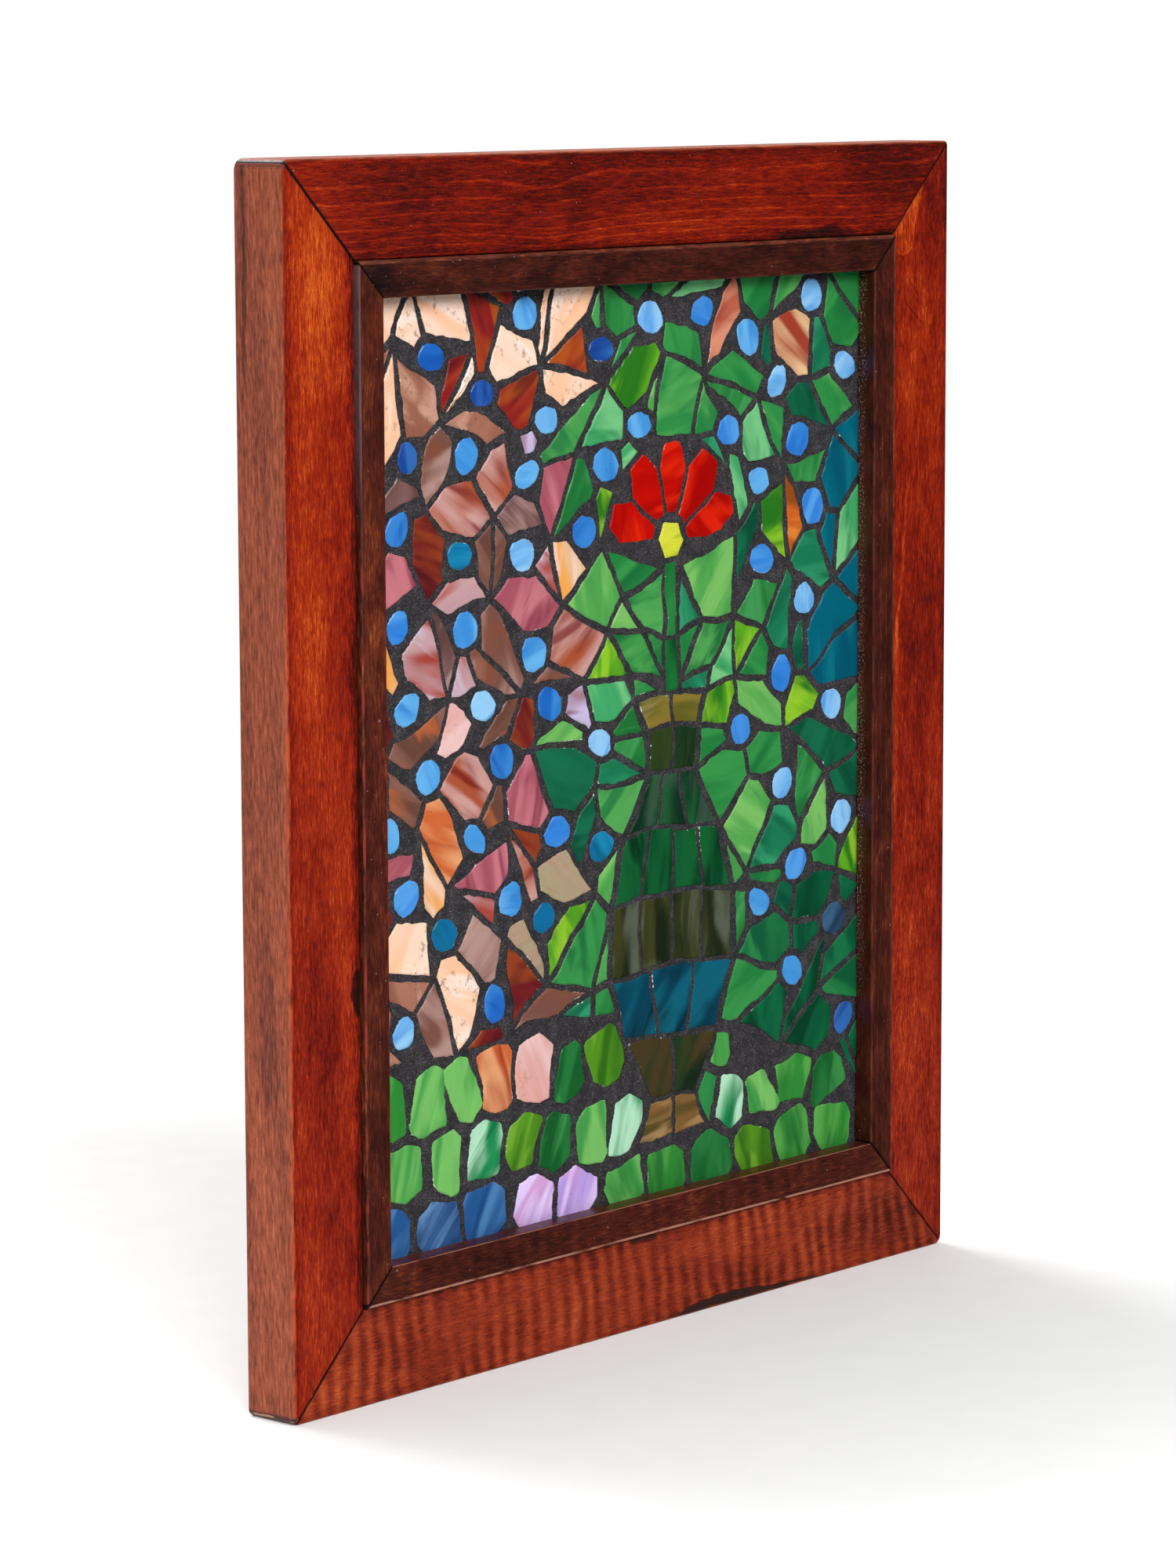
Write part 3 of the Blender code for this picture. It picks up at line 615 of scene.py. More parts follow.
# %% Rails
SIDE_STAIN = [
    (0.00, ink(56, 22, 14)),
    (0.35, ink(110, 46, 28)),
    (0.62, ink(150, 70, 42)),
    (1.00, ink(188, 100, 64)),
]
RAIL_LOOKS = {
    "left": {
        "base": 0.56,
        "hair": 0.9,
        "mottle": 0.35,
        "fibre": 0.5,
        "inner_dark": 0.28,
        "outer_dark": 0.12,
        "arris_wear_and_highlight": 0.6,
        "arris_wear_and_highlight_colour": ink(190, 74, 30),
        "arris_line_below": 0.09,
        "seam": 0.95,
        "side_blots": [
            (0.210, 0.060, 0.0045, 0.0022, -0.30),
            (-0.085, 0.045, 0.0130, 0.0070, -0.16),
            (0.090, 0.050, 0.0180, 0.0050, 0.10),
        ],
        "chip": True,
        "blots": [
            ((-0.080, 0.0012), (0.010, 0.0040), -0.55, 0.25),
            ((0.200, 0.020), (0.055, 0.016), 0.23, 0.9),
            ((0.060, 0.024), (0.040, 0.010), 0.10, 0.9),
            ((-0.115, 0.020), (0.050, 0.016), -0.12, 0.9),
            ((-0.185, 0.012), (0.030, 0.010), -0.12, 0.9),
        ],
    },
    "top": {
        "base": 0.39,
        "fibre": 0.6,
        "mottle": 0.2,
        "hair": 0.7,
        "pore": 0.12,
        "lines": 0.16,
        "lines_per_metre": 310,
        "widening": 3200,
        "dip": -0.060,
        "seam": 0.95,
        "seam_open": 0.0003,
        "dust": 0.5,
        "arris_wear_and_highlight": 0.2,
        "blots": [
            ((-0.150, 0.026), (0.032, 0.010), -0.12, 0.9),
            ((-0.040, 0.022), (0.008, 0.018), -0.10, 0.9),
            ((0.010, 0.034), (0.090, 0.009), -0.06, 0.9),
            ((-0.020, 0.006), (0.060, 0.005), 0.08, 0.9),
            ((0.104, 0.0012), (0.012, 0.0032), -0.26, 0.5),
            ((0.127, 0.0016), (0.017, 0.0036), -0.24, 0.5),
            ((0.168, 0.0004), (0.010, 0.0020), -0.22, 0.6),
            ((0.060, 0.010), (0.060, 0.006), 0.09, 0.9),
            ((0.172, 0.027), (0.040, 0.016), -0.16, 0.9),
        ],
    },
    "right": {
        "base": 0.50,
        "mottle": 0.5,
        "fibre": 0.5,
        "hair": 0.95,
        "pore": 0.2,
        "inner_dark": 0.02,
        "seam": 0.6,
        "drop": True,
        "marks": [
            ((0.1915, 0.0100), (0.1815, 0.0195), 0.0004, -0.3),
            ((0.1810, 0.0075), (0.1685, 0.0235), 0.0004, -0.3),
            ((0.020, 0.0030), (0.110, 0.0130), 0.0016, 0.20),
            ((0.080, 0.0120), (0.150, 0.0240), 0.0010, 0.14),
        ],
        "blots": [
            ((0.222, 0.031), (0.036, 0.011), -0.18, 0.9),
            ((0.150, 0.012), (0.030, 0.008), 0.08, 0.9),
            ((-0.010, 0.004), (0.060, 0.0020), 0.12, 0.4),
        ],
    },
    "bottom": {
        "base": 0.52,
        "fibre": 0.5,
        "mottle": 0.3,
        "hair": 0.5,
        "curl": 0.16,
        "stain": BROWN_STAIN,
        "blots": [
            ((0.058, 0.0403), (0.035, 0.0056), -0.80, 0.06, 0.22),
            ((0.077, 0.0403), (0.052, 0.0032), -0.80, 0.06, 0.30),
            ((0.002, 0.0005), (0.008, 0.0030), -0.30, 0.4),
            ((0.180, 0.020), (0.042, 0.022), -0.20, 0.9),
            ((-0.190, 0.030), (0.030, 0.012), 0.10, 0.9),
        ],
    },
}
CORNER_RADII = {(-1, 1): 0.0045, (1, 1): 0.0022, (1, -1): 0.0042, (-1, -1): 0.0030}
rail_back, rail_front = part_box("rail_left")[1].y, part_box("rail_left")[0].y
rail_ring = ring(FRAME_HALF, RAIL_FACE, rail_back, rail_front)
for (right, up), radius in CORNER_RADII.items():
    corner = edges_where(
        rail_ring,
        lambda point, way: abs(way.y) > 0.9 and point.x * right > FRAME_HALF.x - 1e-5
        and point.z * up > 0,
    )
    rounded(rail_ring, corner, radius, 6)
rounded(rail_ring, long_edges(rail_ring, FRAME_HALF, rail_front, True, RAIL_FACE), 0.0014, 4)
rounded(rail_ring, long_edges(rail_ring, FRAME_HALF, rail_back, True, RAIL_FACE), 0.0007, 2)
rounded(rail_ring, long_edges(rail_ring, FRAME_HALF, rail_front, False, RAIL_FACE), 0.0005, 2)

for number, (side, outward) in enumerate(OUTWARD.items()):
    RAIL_LOOKS[side]["side_stops"] = SIDE_STAIN
    rail = quarter(rail_ring, FRAME_HALF, outward)
    wood = stained_wood(
        f"{side}_rail_wood", outward, FRAME_HALF, RAIL_FACE, -rail_front,
        RAIL_LOOKS[side].get("stain", STAIN), RAIL_LOOKS[side], 1.7 + number,
    )
    piece = put(rail, f"{side}_rail", wood, [f"rail_{side}"])
    print(piece.name, len(piece.data.polygons), "faces")
rail_ring.free()

# %% [markdown]
# Inside the rails sits a narrower lip, stained almost black-brown. It stands 2 mm proud
# of them, with a dark groove between, which is widest at the left: the lip was pushed
# over to the right as it was glued. It is made as the rails are, from a smaller ring
# with softer edges, whose other three sides are moved closer to the rails.

# %% Lips
lip_low, lip_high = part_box("lip_left")
LIP_HALF = Vector((-lip_low.x, (lip_high.z - lip_low.z) / 2))
LIP_FACE = lip_high.x - lip_low.x
TIGHTER = 0.0009
LIP_LOOKS = {
    "left": {"base": 0.52, "blots": [((0.05, 0.008), (0.06, 0.006), 0.08, 0.9)]},
    "top": {
        "base": 0.40,
        "blots": [((-0.160, 0.008), (0.014, 0.010), -0.25, 0.6)],
    },
    "right": {"base": 0.46, "lines": 0.14, "lines_per_metre": 260},
    "bottom": {"base": 0.50, "curl": 0.06, "arris_line_from": 0.3},
}
for look in LIP_LOOKS.values():
    look.update({"mottle": 0.8, "fibre": 0.7, "pore": 0.1, "arris_wear_and_highlight": 0.3, "rough": 0.36})
    look.update({"hair": 0.8, "widening": 0, "grit": 0.4, "seam": 0.95})
    look.update({"arris_line_width": 0.0009, "inner_worn": 0.8, "dust": 0.4})
    look.update({"outer_dark": 0.1, "inner_dark": -0.05, "arris_wear_and_highlight_colour": ink(122, 62, 42)})
    look["side_stops"] = DARK_STAIN
# The bottom lip's thin pale line along its lower arris is partly wear and partly a painted highlight on
# that edge.
LIP_LOOKS["bottom"].update({"arris_wear_and_highlight": 0.6, "arris_wear_and_highlight_colour": ink(184, 132, 110)})
LIP_LOOKS["bottom"].update({"arris_line_width": 0.0005, "mottle": 0.5})
# The left lip's upper outer side gets a painted sheen of pale grey-violet.
LIP_LOOKS["left"].update({"painted_side_sheen": ink(112, 92, 98), "arris_wear_and_highlight": 0.6, "arris_line_width": 0.0011})
LIP_LOOKS["left"].update({"arris_wear_and_highlight_colour": ink(156, 44, 30), "arris_line_below": 0.12})
LIP_LOOKS["right"]["grit"] = 0.85

lip_ring = ring(LIP_HALF, LIP_FACE, lip_high.y, lip_low.y)
for vert in lip_ring.verts:
    if vert.co.x > LIP_HALF.x - 1e-5:
        vert.co.x += TIGHTER
    if abs(vert.co.z - CENTRE.z) > LIP_HALF.y - 1e-5:
        vert.co.z += TIGHTER if vert.co.z > CENTRE.z else -TIGHTER
rounded(lip_ring, long_edges(lip_ring, LIP_HALF, lip_low.y, True, LIP_FACE), 0.0007, 3)
rounded(lip_ring, long_edges(lip_ring, LIP_HALF, lip_low.y, False, LIP_FACE), 0.0007, 3)
for number, (side, outward) in enumerate(OUTWARD.items()):
    lip = quarter(lip_ring, LIP_HALF, outward)
    wood = stained_wood(
        f"{side}_lip_wood", outward, LIP_HALF, LIP_FACE, -lip_low.y, DARK_STAIN,
        LIP_LOOKS[side], 8.3 + number,
    )
    piece = put(lip, f"{side}_lip", wood, [f"lip_{side}"])
    print(piece.name, len(piece.data.polygons), "faces")
lip_ring.free()

# %% [markdown]
# The glass is opalescent sheet glass, nipped into pieces by hand. Two or three colours
# were stirred while it was hot, so each sheet has soft bands, fine threads and milky
# wisps that all run one way, and each piece lies turned its own way. The pieces carry
# their two colours as vertex colours, and their own turned UV map, called sheet, gives
# the direction of the bands. The amount of stirring is kept in a colour's alpha.

# %% Opalescent glass
GROUT_DARK = ink(46, 42, 45)


def opal_glass(name, roughness=0.16):
    finish = Finish(name)
    sheet = finish.node("ShaderNodeUVMap", {"uv_map": "sheet"})

    def painted(layer):
        settings = {"attribute_type": "GEOMETRY", "attribute_name": layer}
        return finish.node("ShaderNodeAttribute", settings, out=("Color", "Alpha"))

    tint, stirring = painted("tint")
    swirl, veining = painted("swirl")
    vein, dirt = painted("vein")
    rim = finish.node("ShaderNodeAttribute", {"attribute_name": "rim"}, out="Fac")

    wide = finish.cloud(finish.scaled(sheet, (0.55, 1.9, 1)), 1.0, 1.0, 0.5, 0.8)
    narrow = finish.cloud(finish.scaled(sheet, (1.0, 6.0, 1), (5, 9, 0)), 1.0, 2.0, 0.5, 0.5)
    threads = finish.cloud(finish.scaled(sheet, (2.0, 30, 1)), 1.0, 3.0, 0.6, 0.3)
    other = finish.cloud(finish.scaled(sheet, (0.7, 2.3, 1), (11, 2, 0)), 1.0, 2.0, 0.5, 0.9)
    stirred = finish.soft(wide * 0.84 + narrow * 0.14 + threads * 0.02, 0.40, 0.60)
    colour = finish.blend(tint, swirl, stirred * stirring)
    veined = finish.soft(other * 0.92 + threads * 0.08, 0.50, 0.68) * veining
    colour = finish.blend(colour, vein, veined)
    shade = (threads - 0.5) * 0.12 + (narrow - 0.5) * 0.25 + 0.5
    grey = finish.ramp(shade, [(0.2, (0.2, 0.2, 0.2, 1)), (0.8, (0.8, 0.8, 0.8, 1))])
    colour = finish.blend(colour, grey, 0.5, "OVERLAY")

    point = finish.place()
    grit = finish.cloud(point, 900.0, 3.0, 0.6)
    soot = finish.cloud(point, 300.0, 4.0, 0.7)
    grime = finish.soft(soot, 0.53, 0.66) * finish.soft(other, 0.42, 0.56) * dirt
    colour = finish.blend(colour, ink(110, 76, 54), grime * 0.7)
    pits = finish.soft(finish.cloud(point, 420.0, 2.0, 0.5), 0.735, 0.77)
    colour = finish.blend(colour, GROUT_DARK, pits * 0.7)
    smear = finish.soft(rim + (grit - 0.5) * 1.2 + (soot - 0.5) * 0.6, 0.78, 1.05)
    colour = finish.blend(colour, GROUT_DARK, smear * 0.92)
    # Chip glints: spots along some stretches of the rims are painted near-white, partly as the frosted
    # break of nipped glass and partly as a painted glint of light caught on it. They also raise the bump
    # a little.
    chip_glint = finish.soft(finish.cloud(point, 620.0, 2.0, 0.6), 0.57, 0.62)
    chip_glint = chip_glint * finish.soft(rim, 0.35, 0.65) * finish.soft(finish.cloud(point, 75.0), 0.62, 0.68)
    colour = finish.blend(colour, ink(232, 238, 232), chip_glint * 0.7)

    swell = finish.cloud(point, 70.0, 1.0)
    ripple = finish.cloud(finish.scaled(sheet, (2, 9, 1)), 1.0, 2.0)
    height = swell + ripple * 0.35 + chip_glint * 0.25 - pits * 0.3
    rough = roughness + (grit - 0.4) * 0.12 + smear * 0.5 + pits * 0.3 + rim * 0.25
    return finish.surface(
        base_color=colour,
        roughness=rough,
        normal=finish.bump(height, 0.0004, 0.35),
        specular_ior_level=0.32,
    )


# %% [markdown]
# Every piece of glass starts as its outline in the CAD model. Its long sides are divided
# and all its points are nudged a little, because nippers bite rather than cut. Then it
# gets its thickness, a sloping ring for the chipped rim, and a tilt of well under a
# degree from the hand that set it. The eyes and leaves are blunted at their corners,
# which makes them rounder, and squeezed a little one way, as in the photograph. A few
# dozen faces are enough for each piece.

# %% Cutting the glass
GLASS_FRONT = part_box("mosaic_field")[0].y
GLASS_DEPTH = 0.0024
RIM = 0.0007
RIM_DROP = 0.0003
hand = random.Random(29)


def outlines(node):
    """The front of a CAD node's glass, with each outline as one flat face."""
    mesh = bmesh.new()
    mesh.from_mesh(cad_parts[node].data)
    bmesh.ops.remove_doubles(mesh, verts=mesh.verts[:], dist=2e-6)
    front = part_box(node)[0].y
    others = [
        face
        for face in mesh.faces
        if face.normal.y > -0.9 or abs(face.calc_center_median().y - front) > 2e-5
    ]
    bmesh.ops.delete(mesh, geom=others, context="FACES")
    bmesh.ops.dissolve_faces(mesh, faces=mesh.faces[:], use_verts=False)
    return mesh


def nudged(point):
    """Where the hand moved a point of an outline: a slow bend and a small nick."""
    bend = noise.noise_vector(point * 52) * 0.0026
    nick = noise.noise_vector(point * 430) * 0.0008
    return Vector((point.x + bend.x + nick.x, point.y, point.z + bend.z + nick.z))


def cut_glass(mesh, blunt=None):
    """Gives flat outlines the shape of nipped pieces of glass."""
    if blunt:
        bmesh.ops.bevel(
            mesh,
            geom=mesh.verts[:],
            offset=blunt,
            affect="VERTICES",
            segments=1,
            profile=0.5,
            material=-1,
            clamp_overlap=True,
        )
    for longest, shortest, cuts in ((1, 0.018, 3), (0.018, 0.010, 2), (0.010, 0.0048, 1)):
        sides = [edge for edge in mesh.edges if shortest < edge.calc_length() <= longest]
        bmesh.ops.subdivide_edges(mesh, edges=sides, cuts=cuts)
    bmesh.ops.dissolve_faces(mesh, faces=mesh.faces[:], use_verts=False)
    rim = mesh.verts.layers.float.new("rim")
    for vert in mesh.verts:
        vert.co = nudged(vert.co) + Vector((0, RIM_DROP, 0))
        vert[rim] = 1.0
    fronts = mesh.faces[:]
    bmesh.ops.inset_individual(mesh, faces=fronts, thickness=RIM, use_even_offset=True)
    for face in fronts:
        for vert in face.verts:
            vert.co.y -= RIM_DROP
            vert[rim] = 0.0
    border = [edge for edge in mesh.edges if edge.is_boundary]
    walls = bmesh.ops.extrude_edge_only(mesh, edges=border)["geom"]
    backs = [item for item in walls if isinstance(item, bmesh.types.BMVert)]
    bmesh.ops.translate(mesh, vec=(0, GLASS_DEPTH, 0), verts=backs)
    open_edges = [edge for edge in mesh.edges if edge.is_boundary]
    bmesh.ops.holes_fill(mesh, edges=open_edges, sides=0)
    bmesh.ops.recalc_face_normals(mesh, faces=mesh.faces)


def islands(mesh):
    """The vertices of each separate piece of glass."""
    left = set(mesh.verts)
    found = []
    for start in mesh.verts:
        if start not in left:
            continue
        left.discard(start)
        group, queue = [], [start]
        while queue:
            vert = queue.pop()
            group.append(vert)
            for edge in vert.link_edges:
                other = edge.other_vert(vert)
                if other in left:
                    left.discard(other)
                    queue.append(other)
        found.append(group)
    return found


def middle_of(group):
    return sum((vert.co for vert in group), Vector()) / len(group)


def colour_glass(mesh, choose, spin=1.5, squeeze=0.03):
    """Sets each piece of glass a little askew and gives it the colours chosen for it.

    choose takes the piece's middle and returns its sheet and the turn of its bands. spin
    is how many degrees a piece is turned, and squeeze how much narrower it may be."""
    layers = [mesh.verts.layers.float_color.new(name) for name in ("tint", "swirl", "vein")]
    sheet = mesh.loops.layers.uv.new("sheet")
    for group in islands(mesh):
        middle = middle_of(group)
        lean = [radians(hand.uniform(-0.6, 0.6)) for _ in range(2)]
        tilt = Euler((lean[0], radians(hand.uniform(-spin, spin)), lean[1])).to_matrix()
        askew = radians(hand.uniform(0, 180))
        slim = 1 - hand.uniform(0, squeeze)
        sink = Vector((0, hand.uniform(0, 0.00018), 0))
        glass, grain = choose(middle)
        turn = radians(hand.uniform(0, 360) if grain is None else grain + hand.gauss(0, 9))
        start = Vector((hand.uniform(0, 40), hand.uniform(0, 40)))
        for vert in group:
            away = vert.co - middle
            for layer, colour in zip(layers, glass):
                vert[layer] = colour
            for loop in vert.link_loops:
                flat = Vector((away.x, away.z)) * 100
                along = flat.x * cos(turn) + flat.y * sin(turn)
                over = flat.y * cos(turn) - flat.x * sin(turn)
                loop[sheet].uv = start + Vector((along, over)) * 0.3
            across = Vector((cos(askew), 0, sin(askew)))
            narrower = away - across * away.dot(across) * (1 - slim)
            vert.co = middle + tilt @ narrower + sink


# %% [markdown]
# The colours of the glass. Each family of pieces has a short list of sheets, and a sheet
# is a main colour, a second colour stirred into it, how much it was stirred, and how
# milky it is. The warm sheets stand at the left of the picture, the greens over the
# rest, and blue eyes are dotted over both.

# %% Sheets of glass
def sheet_of(tint, swirl, vein, weight=1, stirring=0.9, veining=0.8, dirt=0.0):
    """Three colours of one sheet, each with an amount in its alpha, and its weight."""
    colours = (ink(*tint), ink(*swirl), ink(*vein))
    amounts = (stirring, veining, dirt)
    return [(*c[:3], amount) for c, amount in zip(colours, amounts)] + [weight]


WARM = [
    sheet_of((111, 71, 61), (167, 134, 125), (122, 69, 50), 6),
    sheet_of((95, 61, 50), (127, 87, 76), (169, 89, 46), 5),
    sheet_of((87, 59, 56), (113, 82, 80), (160, 125, 121), 5),
    sheet_of((213, 171, 130), (220, 146, 58), (222, 192, 177), 4),
    sheet_of((206, 155, 149), (215, 180, 179), (206, 134, 104), 5, dirt=0.4),
    sheet_of((178, 141, 145), (149, 44, 19), (187, 169, 184), 6),
    sheet_of((187, 93, 48), (213, 153, 108), (136, 37, 19), 3),
    sheet_of((151, 75, 89), (184, 109, 119), (116, 43, 61), 4),
    sheet_of((102, 25, 28), (135, 59, 28), (64, 16, 22), 4),
    sheet_of((182, 169, 201), (142, 100, 110), (102, 23, 30), 3),
    sheet_of((160, 135, 112), (153, 142, 110), (127, 89, 76), 2),
    sheet_of((153, 75, 48), (186, 144, 138), (109, 18, 19), 4),
]
CREAM = [
    sheet_of((233, 199, 177), (233, 177, 140), (237, 212, 200), 4, dirt=0.9),
    sheet_of((225, 177, 159), (233, 201, 190), (225, 150, 108), 3, dirt=0.5),
    sheet_of((157, 107, 88), (132, 81, 65), (192, 147, 127), 3, dirt=0.7),
    sheet_of((128, 30, 27), (159, 75, 27), (85, 19, 25), 3),
    sheet_of((171, 162, 113), (153, 137, 96), (198, 154, 142), 1, dirt=0.4),
]
GREEN = [
    sheet_of((30, 114, 54), (50, 134, 66), (22, 94, 50), 7),
    sheet_of((26, 100, 46), (40, 120, 58), (60, 140, 76), 6),
    sheet_of((40, 126, 62), (76, 150, 76), (26, 104, 56), 6),
    sheet_of((72, 146, 70), (114, 174, 90), (48, 128, 62), 4),
    sheet_of((22, 108, 72), (44, 138, 96), (14, 86, 60), 6),
    sheet_of((84, 152, 30), (26, 98, 24), (138, 186, 42), 2),
    sheet_of((10, 80, 54), (18, 98, 68), (6, 62, 44), 4),
    sheet_of((60, 150, 92), (110, 180, 120), (36, 120, 72), 4),
]
DEEP_GREEN = [
    sheet_of((4, 80, 48), (2, 52, 32), (12, 96, 58), 4),
    sheet_of((8, 88, 56), (4, 66, 42), (22, 106, 64), 3),
    sheet_of((26, 104, 58), (8, 78, 48), (40, 120, 66), 2),
]
TEAL = [
    sheet_of((0, 88, 108), (0, 74, 94), (8, 104, 116), 3),
    sheet_of((2, 100, 88), (0, 86, 82), (14, 116, 96), 1),
]
RUST = [
    sheet_of((168, 86, 66), (200, 132, 104), (140, 60, 44), 2),
    sheet_of((184, 86, 28), (124, 62, 18), (212, 126, 52), 2),
    sheet_of((146, 56, 38), (222, 186, 140), (184, 92, 64), 1),
]
EYE = [
    sheet_of((62, 136, 200), (94, 162, 214), (44, 116, 188), 8),
    sheet_of((46, 118, 196), (78, 146, 210), (30, 98, 180), 7),
    sheet_of((28, 92, 174), (52, 122, 192), (18, 74, 156), 4),
    sheet_of((102, 162, 214), (136, 186, 222), (72, 140, 204), 5),
    sheet_of((24, 64, 138), (46, 96, 164), (18, 50, 116), 3),
    sheet_of((10, 96, 140), (24, 126, 166), (10, 80, 98), 2),
    sheet_of((36, 62, 92), (54, 88, 120), (28, 46, 72), 2),
]
LEAF = [
    sheet_of((42, 124, 46), (86, 158, 72), (30, 100, 42), 5),
    sheet_of((62, 142, 66), (112, 176, 92), (44, 124, 56), 4),
    sheet_of((32, 108, 52), (14, 80, 34), (56, 134, 66), 5),
    sheet_of((26, 130, 76), (170, 214, 184), (14, 102, 58), 2),
    sheet_of((76, 132, 26), (36, 90, 18), (112, 162, 50), 2),
]
STONE = [
    sheet_of((32, 79, 134), (70, 119, 169), (23, 55, 103), 4),
    sheet_of((49, 90, 139), (30, 57, 103), (102, 145, 187), 3),
    sheet_of((170, 141, 207), (216, 196, 238), (193, 136, 187), 2),
    sheet_of((42, 57, 88), (30, 42, 64), (66, 88, 119), 1),
]


def one_of(sheets, grain=None):
    """A sheet picked by its weight, and the direction of its bands."""
    return hand.choices(sheets, [sheet[-1] for sheet in sheets])[0][:3], grain


# %% [markdown]
# The background's outlines are all in one CAD node. They are told apart by shape and
# place: small round ones are eyes, compact ones near the foot are leaves, the lowest at
# the left are stones, and the rest are shards, warm on the left and green elsewhere.

# %% Background glass
SIGHT_HALF = LIP_HALF - Vector((LIP_FACE, LIP_FACE))
FOOT = CENTRE.z - SIGHT_HALF.y


def roundness(face):
    return 4 * pi * face.calc_area() / face.calc_perimeter() ** 2


def family(face):
    """Which family of glass an outline belongs to."""
    middle = face.calc_center_median()
    up = middle.z - FOOT
    if face.calc_area() < 2.35e-4 and roundness(face) > 0.86 and len(face.verts) == 7:
        return "eyes"
    if up < 0.022 and middle.x < -0.012:
        return "stones"
    if up < 0.066 and roundness(face) > 0.80:
        return "leaves"
    warm_edge = -0.030 - 0.014 * (1 - up / (2 * SIGHT_HALF.y)) + hand.uniform(-0.008, 0.008)
    if middle.x < warm_edge and up > 0.066:
        return "warm_shards"
    return "green_shards"


def warm_sheet(middle):
    up = (middle.z - FOOT) / (2 * SIGHT_HALF.y)
    if up > 0.86 or (up < 0.33 and middle.x < -0.10 and hand.random() < 0.6):
        return one_of(CREAM)
    return one_of(WARM)


def green_sheet(middle):
    up = (middle.z - FOOT) / (2 * SIGHT_HALF.y)
    right = middle.x / SIGHT_HALF.x
    if right > 0.84 and 0.55 < up < 0.86 and hand.random() < 0.55:
        return one_of(TEAL, 90)
    if right > 0.55 and up < 0.30:
        return one_of(DEEP_GREEN)
    if up > 0.6 and 0.3 < right < 0.8 and hand.random() < 0.09:
        return one_of(RUST)
    if right < -0.2 and up < 0.2 and hand.random() < 0.4:
        return one_of(WARM)
    return one_of(GREEN)


FAMILIES = {
    "eyes": ("glass_blue", lambda middle: one_of(EYE)),
    "stones": ("glass_stone", lambda middle: one_of(STONE, 60)),
    "leaves": ("glass_leaf", lambda middle: one_of(LEAF, 80)),
    "warm_shards": ("glass_warm", warm_sheet),
    "green_shards": ("glass_green", green_sheet),
}
LOOSE = {"eyes": (30, 0.20), "leaves": (14, 0.24), "stones": (5, 0.08)}
BLUNT = {"eyes": 0.0015, "leaves": 0.0022}
flat = outlines("mosaic_field")
kind_of = {face.index: family(face) for face in flat.faces}
for kind, (slot, choose) in FAMILIES.items():
    mesh = flat.copy()
    mesh.faces.ensure_lookup_table()
    others = [face for face in mesh.faces if kind_of[face.index] != kind]
    bmesh.ops.delete(mesh, geom=others, context="FACES")
    count = len(mesh.faces)
    cut_glass(mesh, BLUNT.get(kind))
    colour_glass(mesh, choose, *LOOSE.get(kind, ()))
    piece = put(mesh, kind, opal_glass(kind + "_glass"), ["mosaic_field"])
    print(kind, count, "pieces,", round(len(piece.data.polygons) / count), "faces each")
flat.free()

# %% [markdown]
# The vase and its flower are separate CAD nodes, so each piece of them stays a piece of
# its own. They are cut the same way. The vase is dark: bottle green, olive, teal and tan,
# with its streaks running upright, and the petals are signal red.

# %% Vase and flower
BOTTLE = sheet_of((8, 44, 26), (24, 80, 42), (54, 74, 62))
MOSS = sheet_of((22, 32, 18), (56, 58, 26), (84, 92, 78))
FOREST = sheet_of((4, 62, 32), (16, 88, 44), (2, 32, 20))
OLIVE_TAN = sheet_of((120, 104, 40), (74, 76, 24), (150, 134, 84))
BROWN_TAN = sheet_of((128, 92, 50), (70, 60, 28), (160, 128, 84))
FIGURE_SHEETS = {
    "stem_leaf": ("glass_green", sheet_of((40, 124, 56), (24, 92, 48), (80, 156, 80)), 30),
    "stem": ("glass_green", sheet_of((22, 100, 44), (8, 58, 28), (48, 130, 66)), 90),
    "vase_rim": ("glass_tan", OLIVE_TAN, 0),
    "vase_neck": ("glass_olive", sheet_of((22, 50, 24), (52, 62, 26), (10, 30, 18)), 80),
    "vase_shoulder": ("glass_dark_green", BOTTLE, 80),
    "vase_upper_body": ("glass_dark_green", FOREST, 90),
    "vase_body": ("glass_olive", MOSS, 86),
    "vase_lower_body": ("glass_teal", sheet_of((4, 56, 76), (10, 88, 108), (8, 34, 38)), 60),
    "vase_taper": ("glass_olive", sheet_of((24, 52, 26), (66, 52, 28), (10, 30, 18)), 60),
    "vase_foot": ("glass_tan", BROWN_TAN, 0),
    "petal_cup": ("glass_yellow", sheet_of((160, 180, 24), (204, 202, 64), (110, 150, 20)), 30),
    "petal": ("glass_red", sheet_of((174, 8, 2), (146, 4, 2), (206, 34, 8)), None),
}
figure_glass = {}
for node in sorted(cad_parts):
    start = next((start for start in FIGURE_SHEETS if node.startswith(start)), None)
    if start is None:
        continue
    slot, sheet, turn = FIGURE_SHEETS[start]
    if slot not in figure_glass:
        figure_glass[slot] = opal_glass("figure_" + slot, 0.13)
    mesh = outlines(node)
    cut_glass(mesh)
    colour_glass(mesh, lambda middle: (sheet[:3], turn), 1.0, 0.0)
    put(mesh, node + "_glass", figure_glass[slot], [node])
print("figure pieces in", len(figure_glass), "glasses")

# %% [markdown]
# The grout is a dark cement full of fine sand, pressed between the pieces and wiped, so
# it lies a little hollow and rough. A flat sheet with a grainy material would do from
# afar. Here the sheet is divided finely and its points are sunk by noise, and the grain
# of the sand is left to the material.

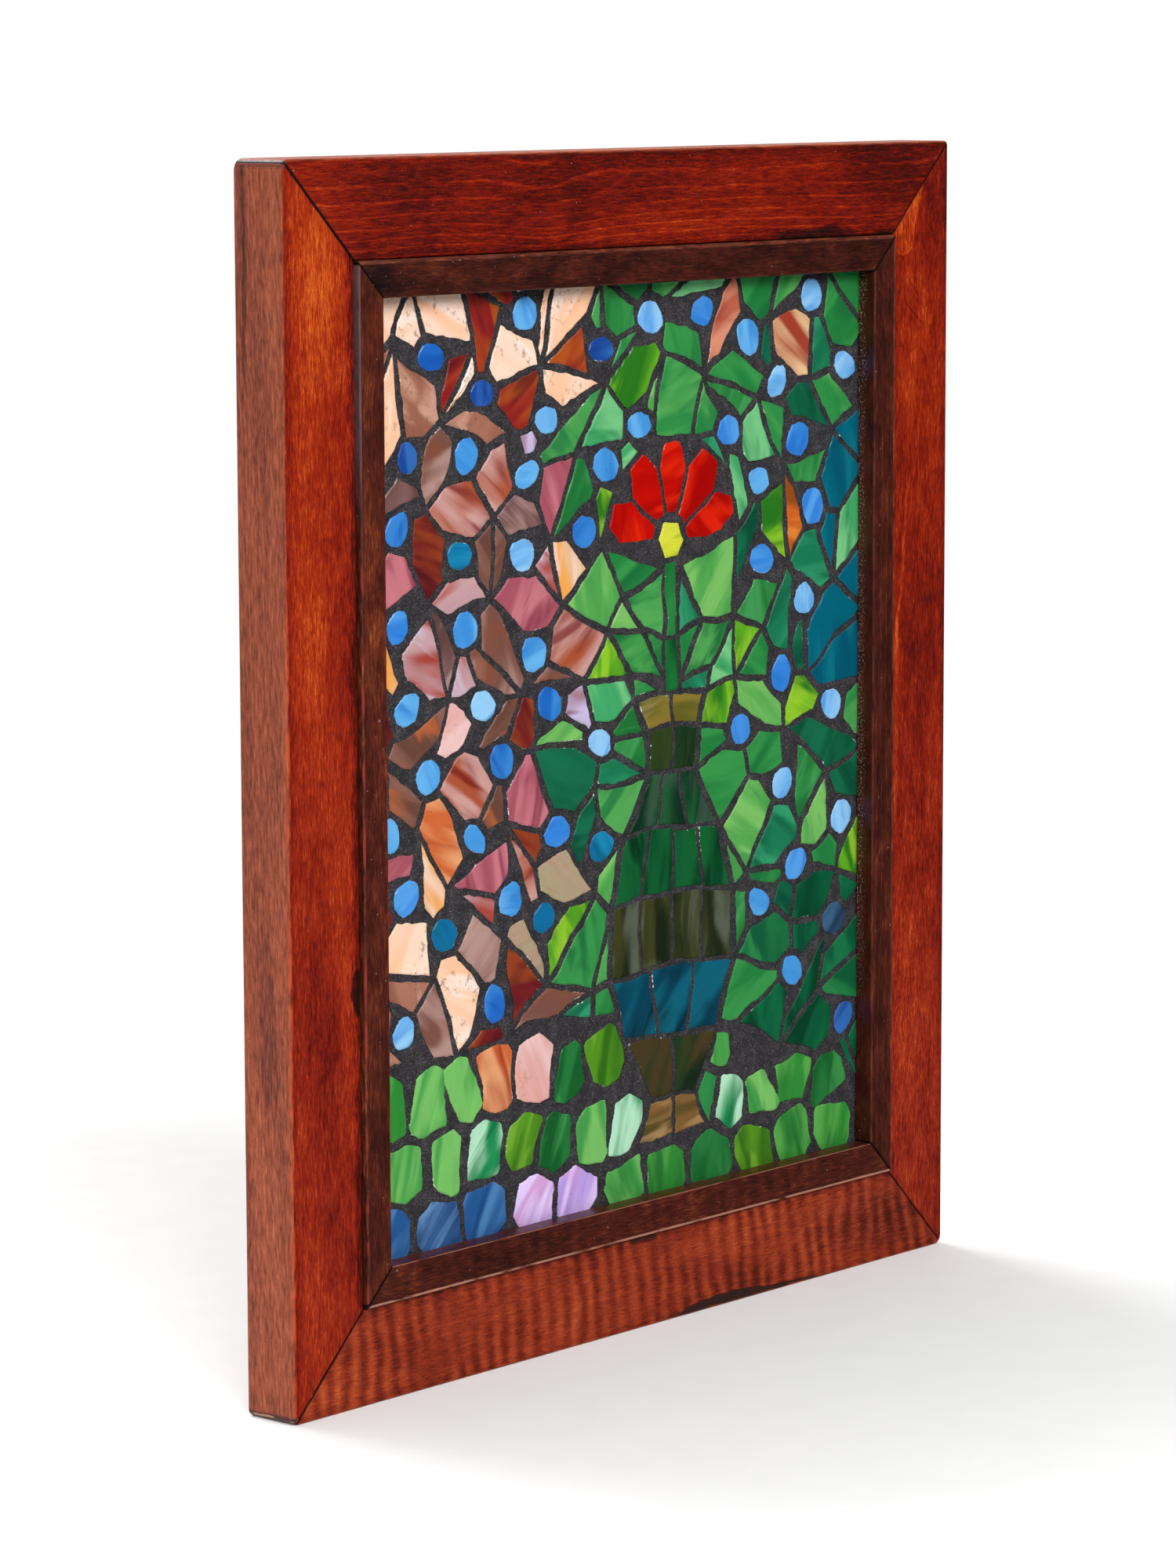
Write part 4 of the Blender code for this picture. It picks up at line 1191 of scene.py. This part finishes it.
# %% Grout
GROUT_FRONT = GLASS_FRONT + 0.0005
GROUT_STEP = 0.0028
field_low, field_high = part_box("mosaic_field")
field_half = Vector((field_high.x - field_low.x, field_high.z - field_low.z)) / 2
grout = bmesh.new()
bmesh.ops.create_grid(
    grout,
    x_segments=round(2 * field_half.x / GROUT_STEP),
    y_segments=round(2 * field_half.y / GROUT_STEP),
    size=1,
    matrix=Matrix.Rotation(radians(90), 4, "X"),
)
bmesh.ops.scale(grout, vec=(field_half.x, 1, field_half.y), verts=grout.verts)
bmesh.ops.translate(grout, vec=CENTRE + Vector((0, GROUT_FRONT, 0)), verts=grout.verts)
for vert in grout.verts:
    slow = noise.noise(vert.co * 90) * 0.00016
    quick = noise.noise(vert.co * 420) * 0.00014
    vert.co.y += 0.0001 + slow + quick
border = [edge for edge in grout.edges if edge.is_boundary]
walls = bmesh.ops.extrude_edge_only(grout, edges=border)["geom"]
for item in walls:
    if isinstance(item, bmesh.types.BMVert):
        item.co.y = field_high.y - 0.0002
open_edges = [edge for edge in grout.edges if edge.is_boundary]
bmesh.ops.holes_fill(grout, edges=open_edges, sides=0)

finish = Finish("sanded_grout")
point = finish.place()
sand = finish.cloud(point, 1500.0, 3.0, 0.7)
lumps = finish.cloud(point, 160.0, 3.0, 0.6)
crumbs = finish.node("ShaderNodeTexVoronoi", {}, {"Vector": point, "Scale": 1100.0})
grains = finish.soft(crumbs, 0.28, 0.12) * finish.soft(sand, 0.46, 0.6)
cement = finish.ramp(sand * 0.65 + lumps * 0.35, [
    (0.34, ink(18, 17, 20)),
    (0.50, ink(40, 38, 42)),
    (0.68, ink(80, 76, 78)),
])
cement = finish.blend(cement, ink(156, 148, 140), grains * 0.6)
grout_material = finish.surface(
    base_color=cement,
    roughness=0.88 + (sand - 0.5) * 0.15,
    normal=finish.bump(sand + lumps * 1.5, 0.0004, 0.9),
    specular_ior_level=0.3,
)
grout_piece = put(grout, "grout", grout_material, ["mosaic_field"])
print("grout", len(grout_piece.data.polygons), "faces")

# %% [markdown]
# A thin board carries the mosaic and closes the back. Nothing of it shows from the
# front. Its CAD solid has the right shape, so it stays, with a plain pressed-fibre
# finish: short fibres in every direction and a few darker flecks.

# %% Backing board
finish = Finish("pressed_board")
point = finish.place()
first_fibres = finish.cloud(finish.scaled(point, (900, 300, 90)), 1.0, 3.0, 0.6)
second_fibres = finish.cloud(finish.scaled(point, (90, 300, 900)), 1.0, 3.0, 0.6)
stain = finish.cloud(point, 14.0, 3.0)
fibres = first_fibres.math("MAXIMUM", first_fibres, second_fibres)
board_colour = finish.ramp(fibres * 0.7 + stain * 0.3, [
    (0.32, ink(92, 66, 44)),
    (0.52, ink(138, 104, 72)),
    (0.75, ink(170, 134, 98)),
])
board_material = finish.surface(
    base_color=board_colour,
    roughness=0.8 + (fibres - 0.5) * 0.2,
    normal=finish.bump(fibres, 0.0002, 0.6),
)
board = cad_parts["backing_board"]
board.data.materials.clear()
board.data.materials.append(board_material)
print("board", board.name)
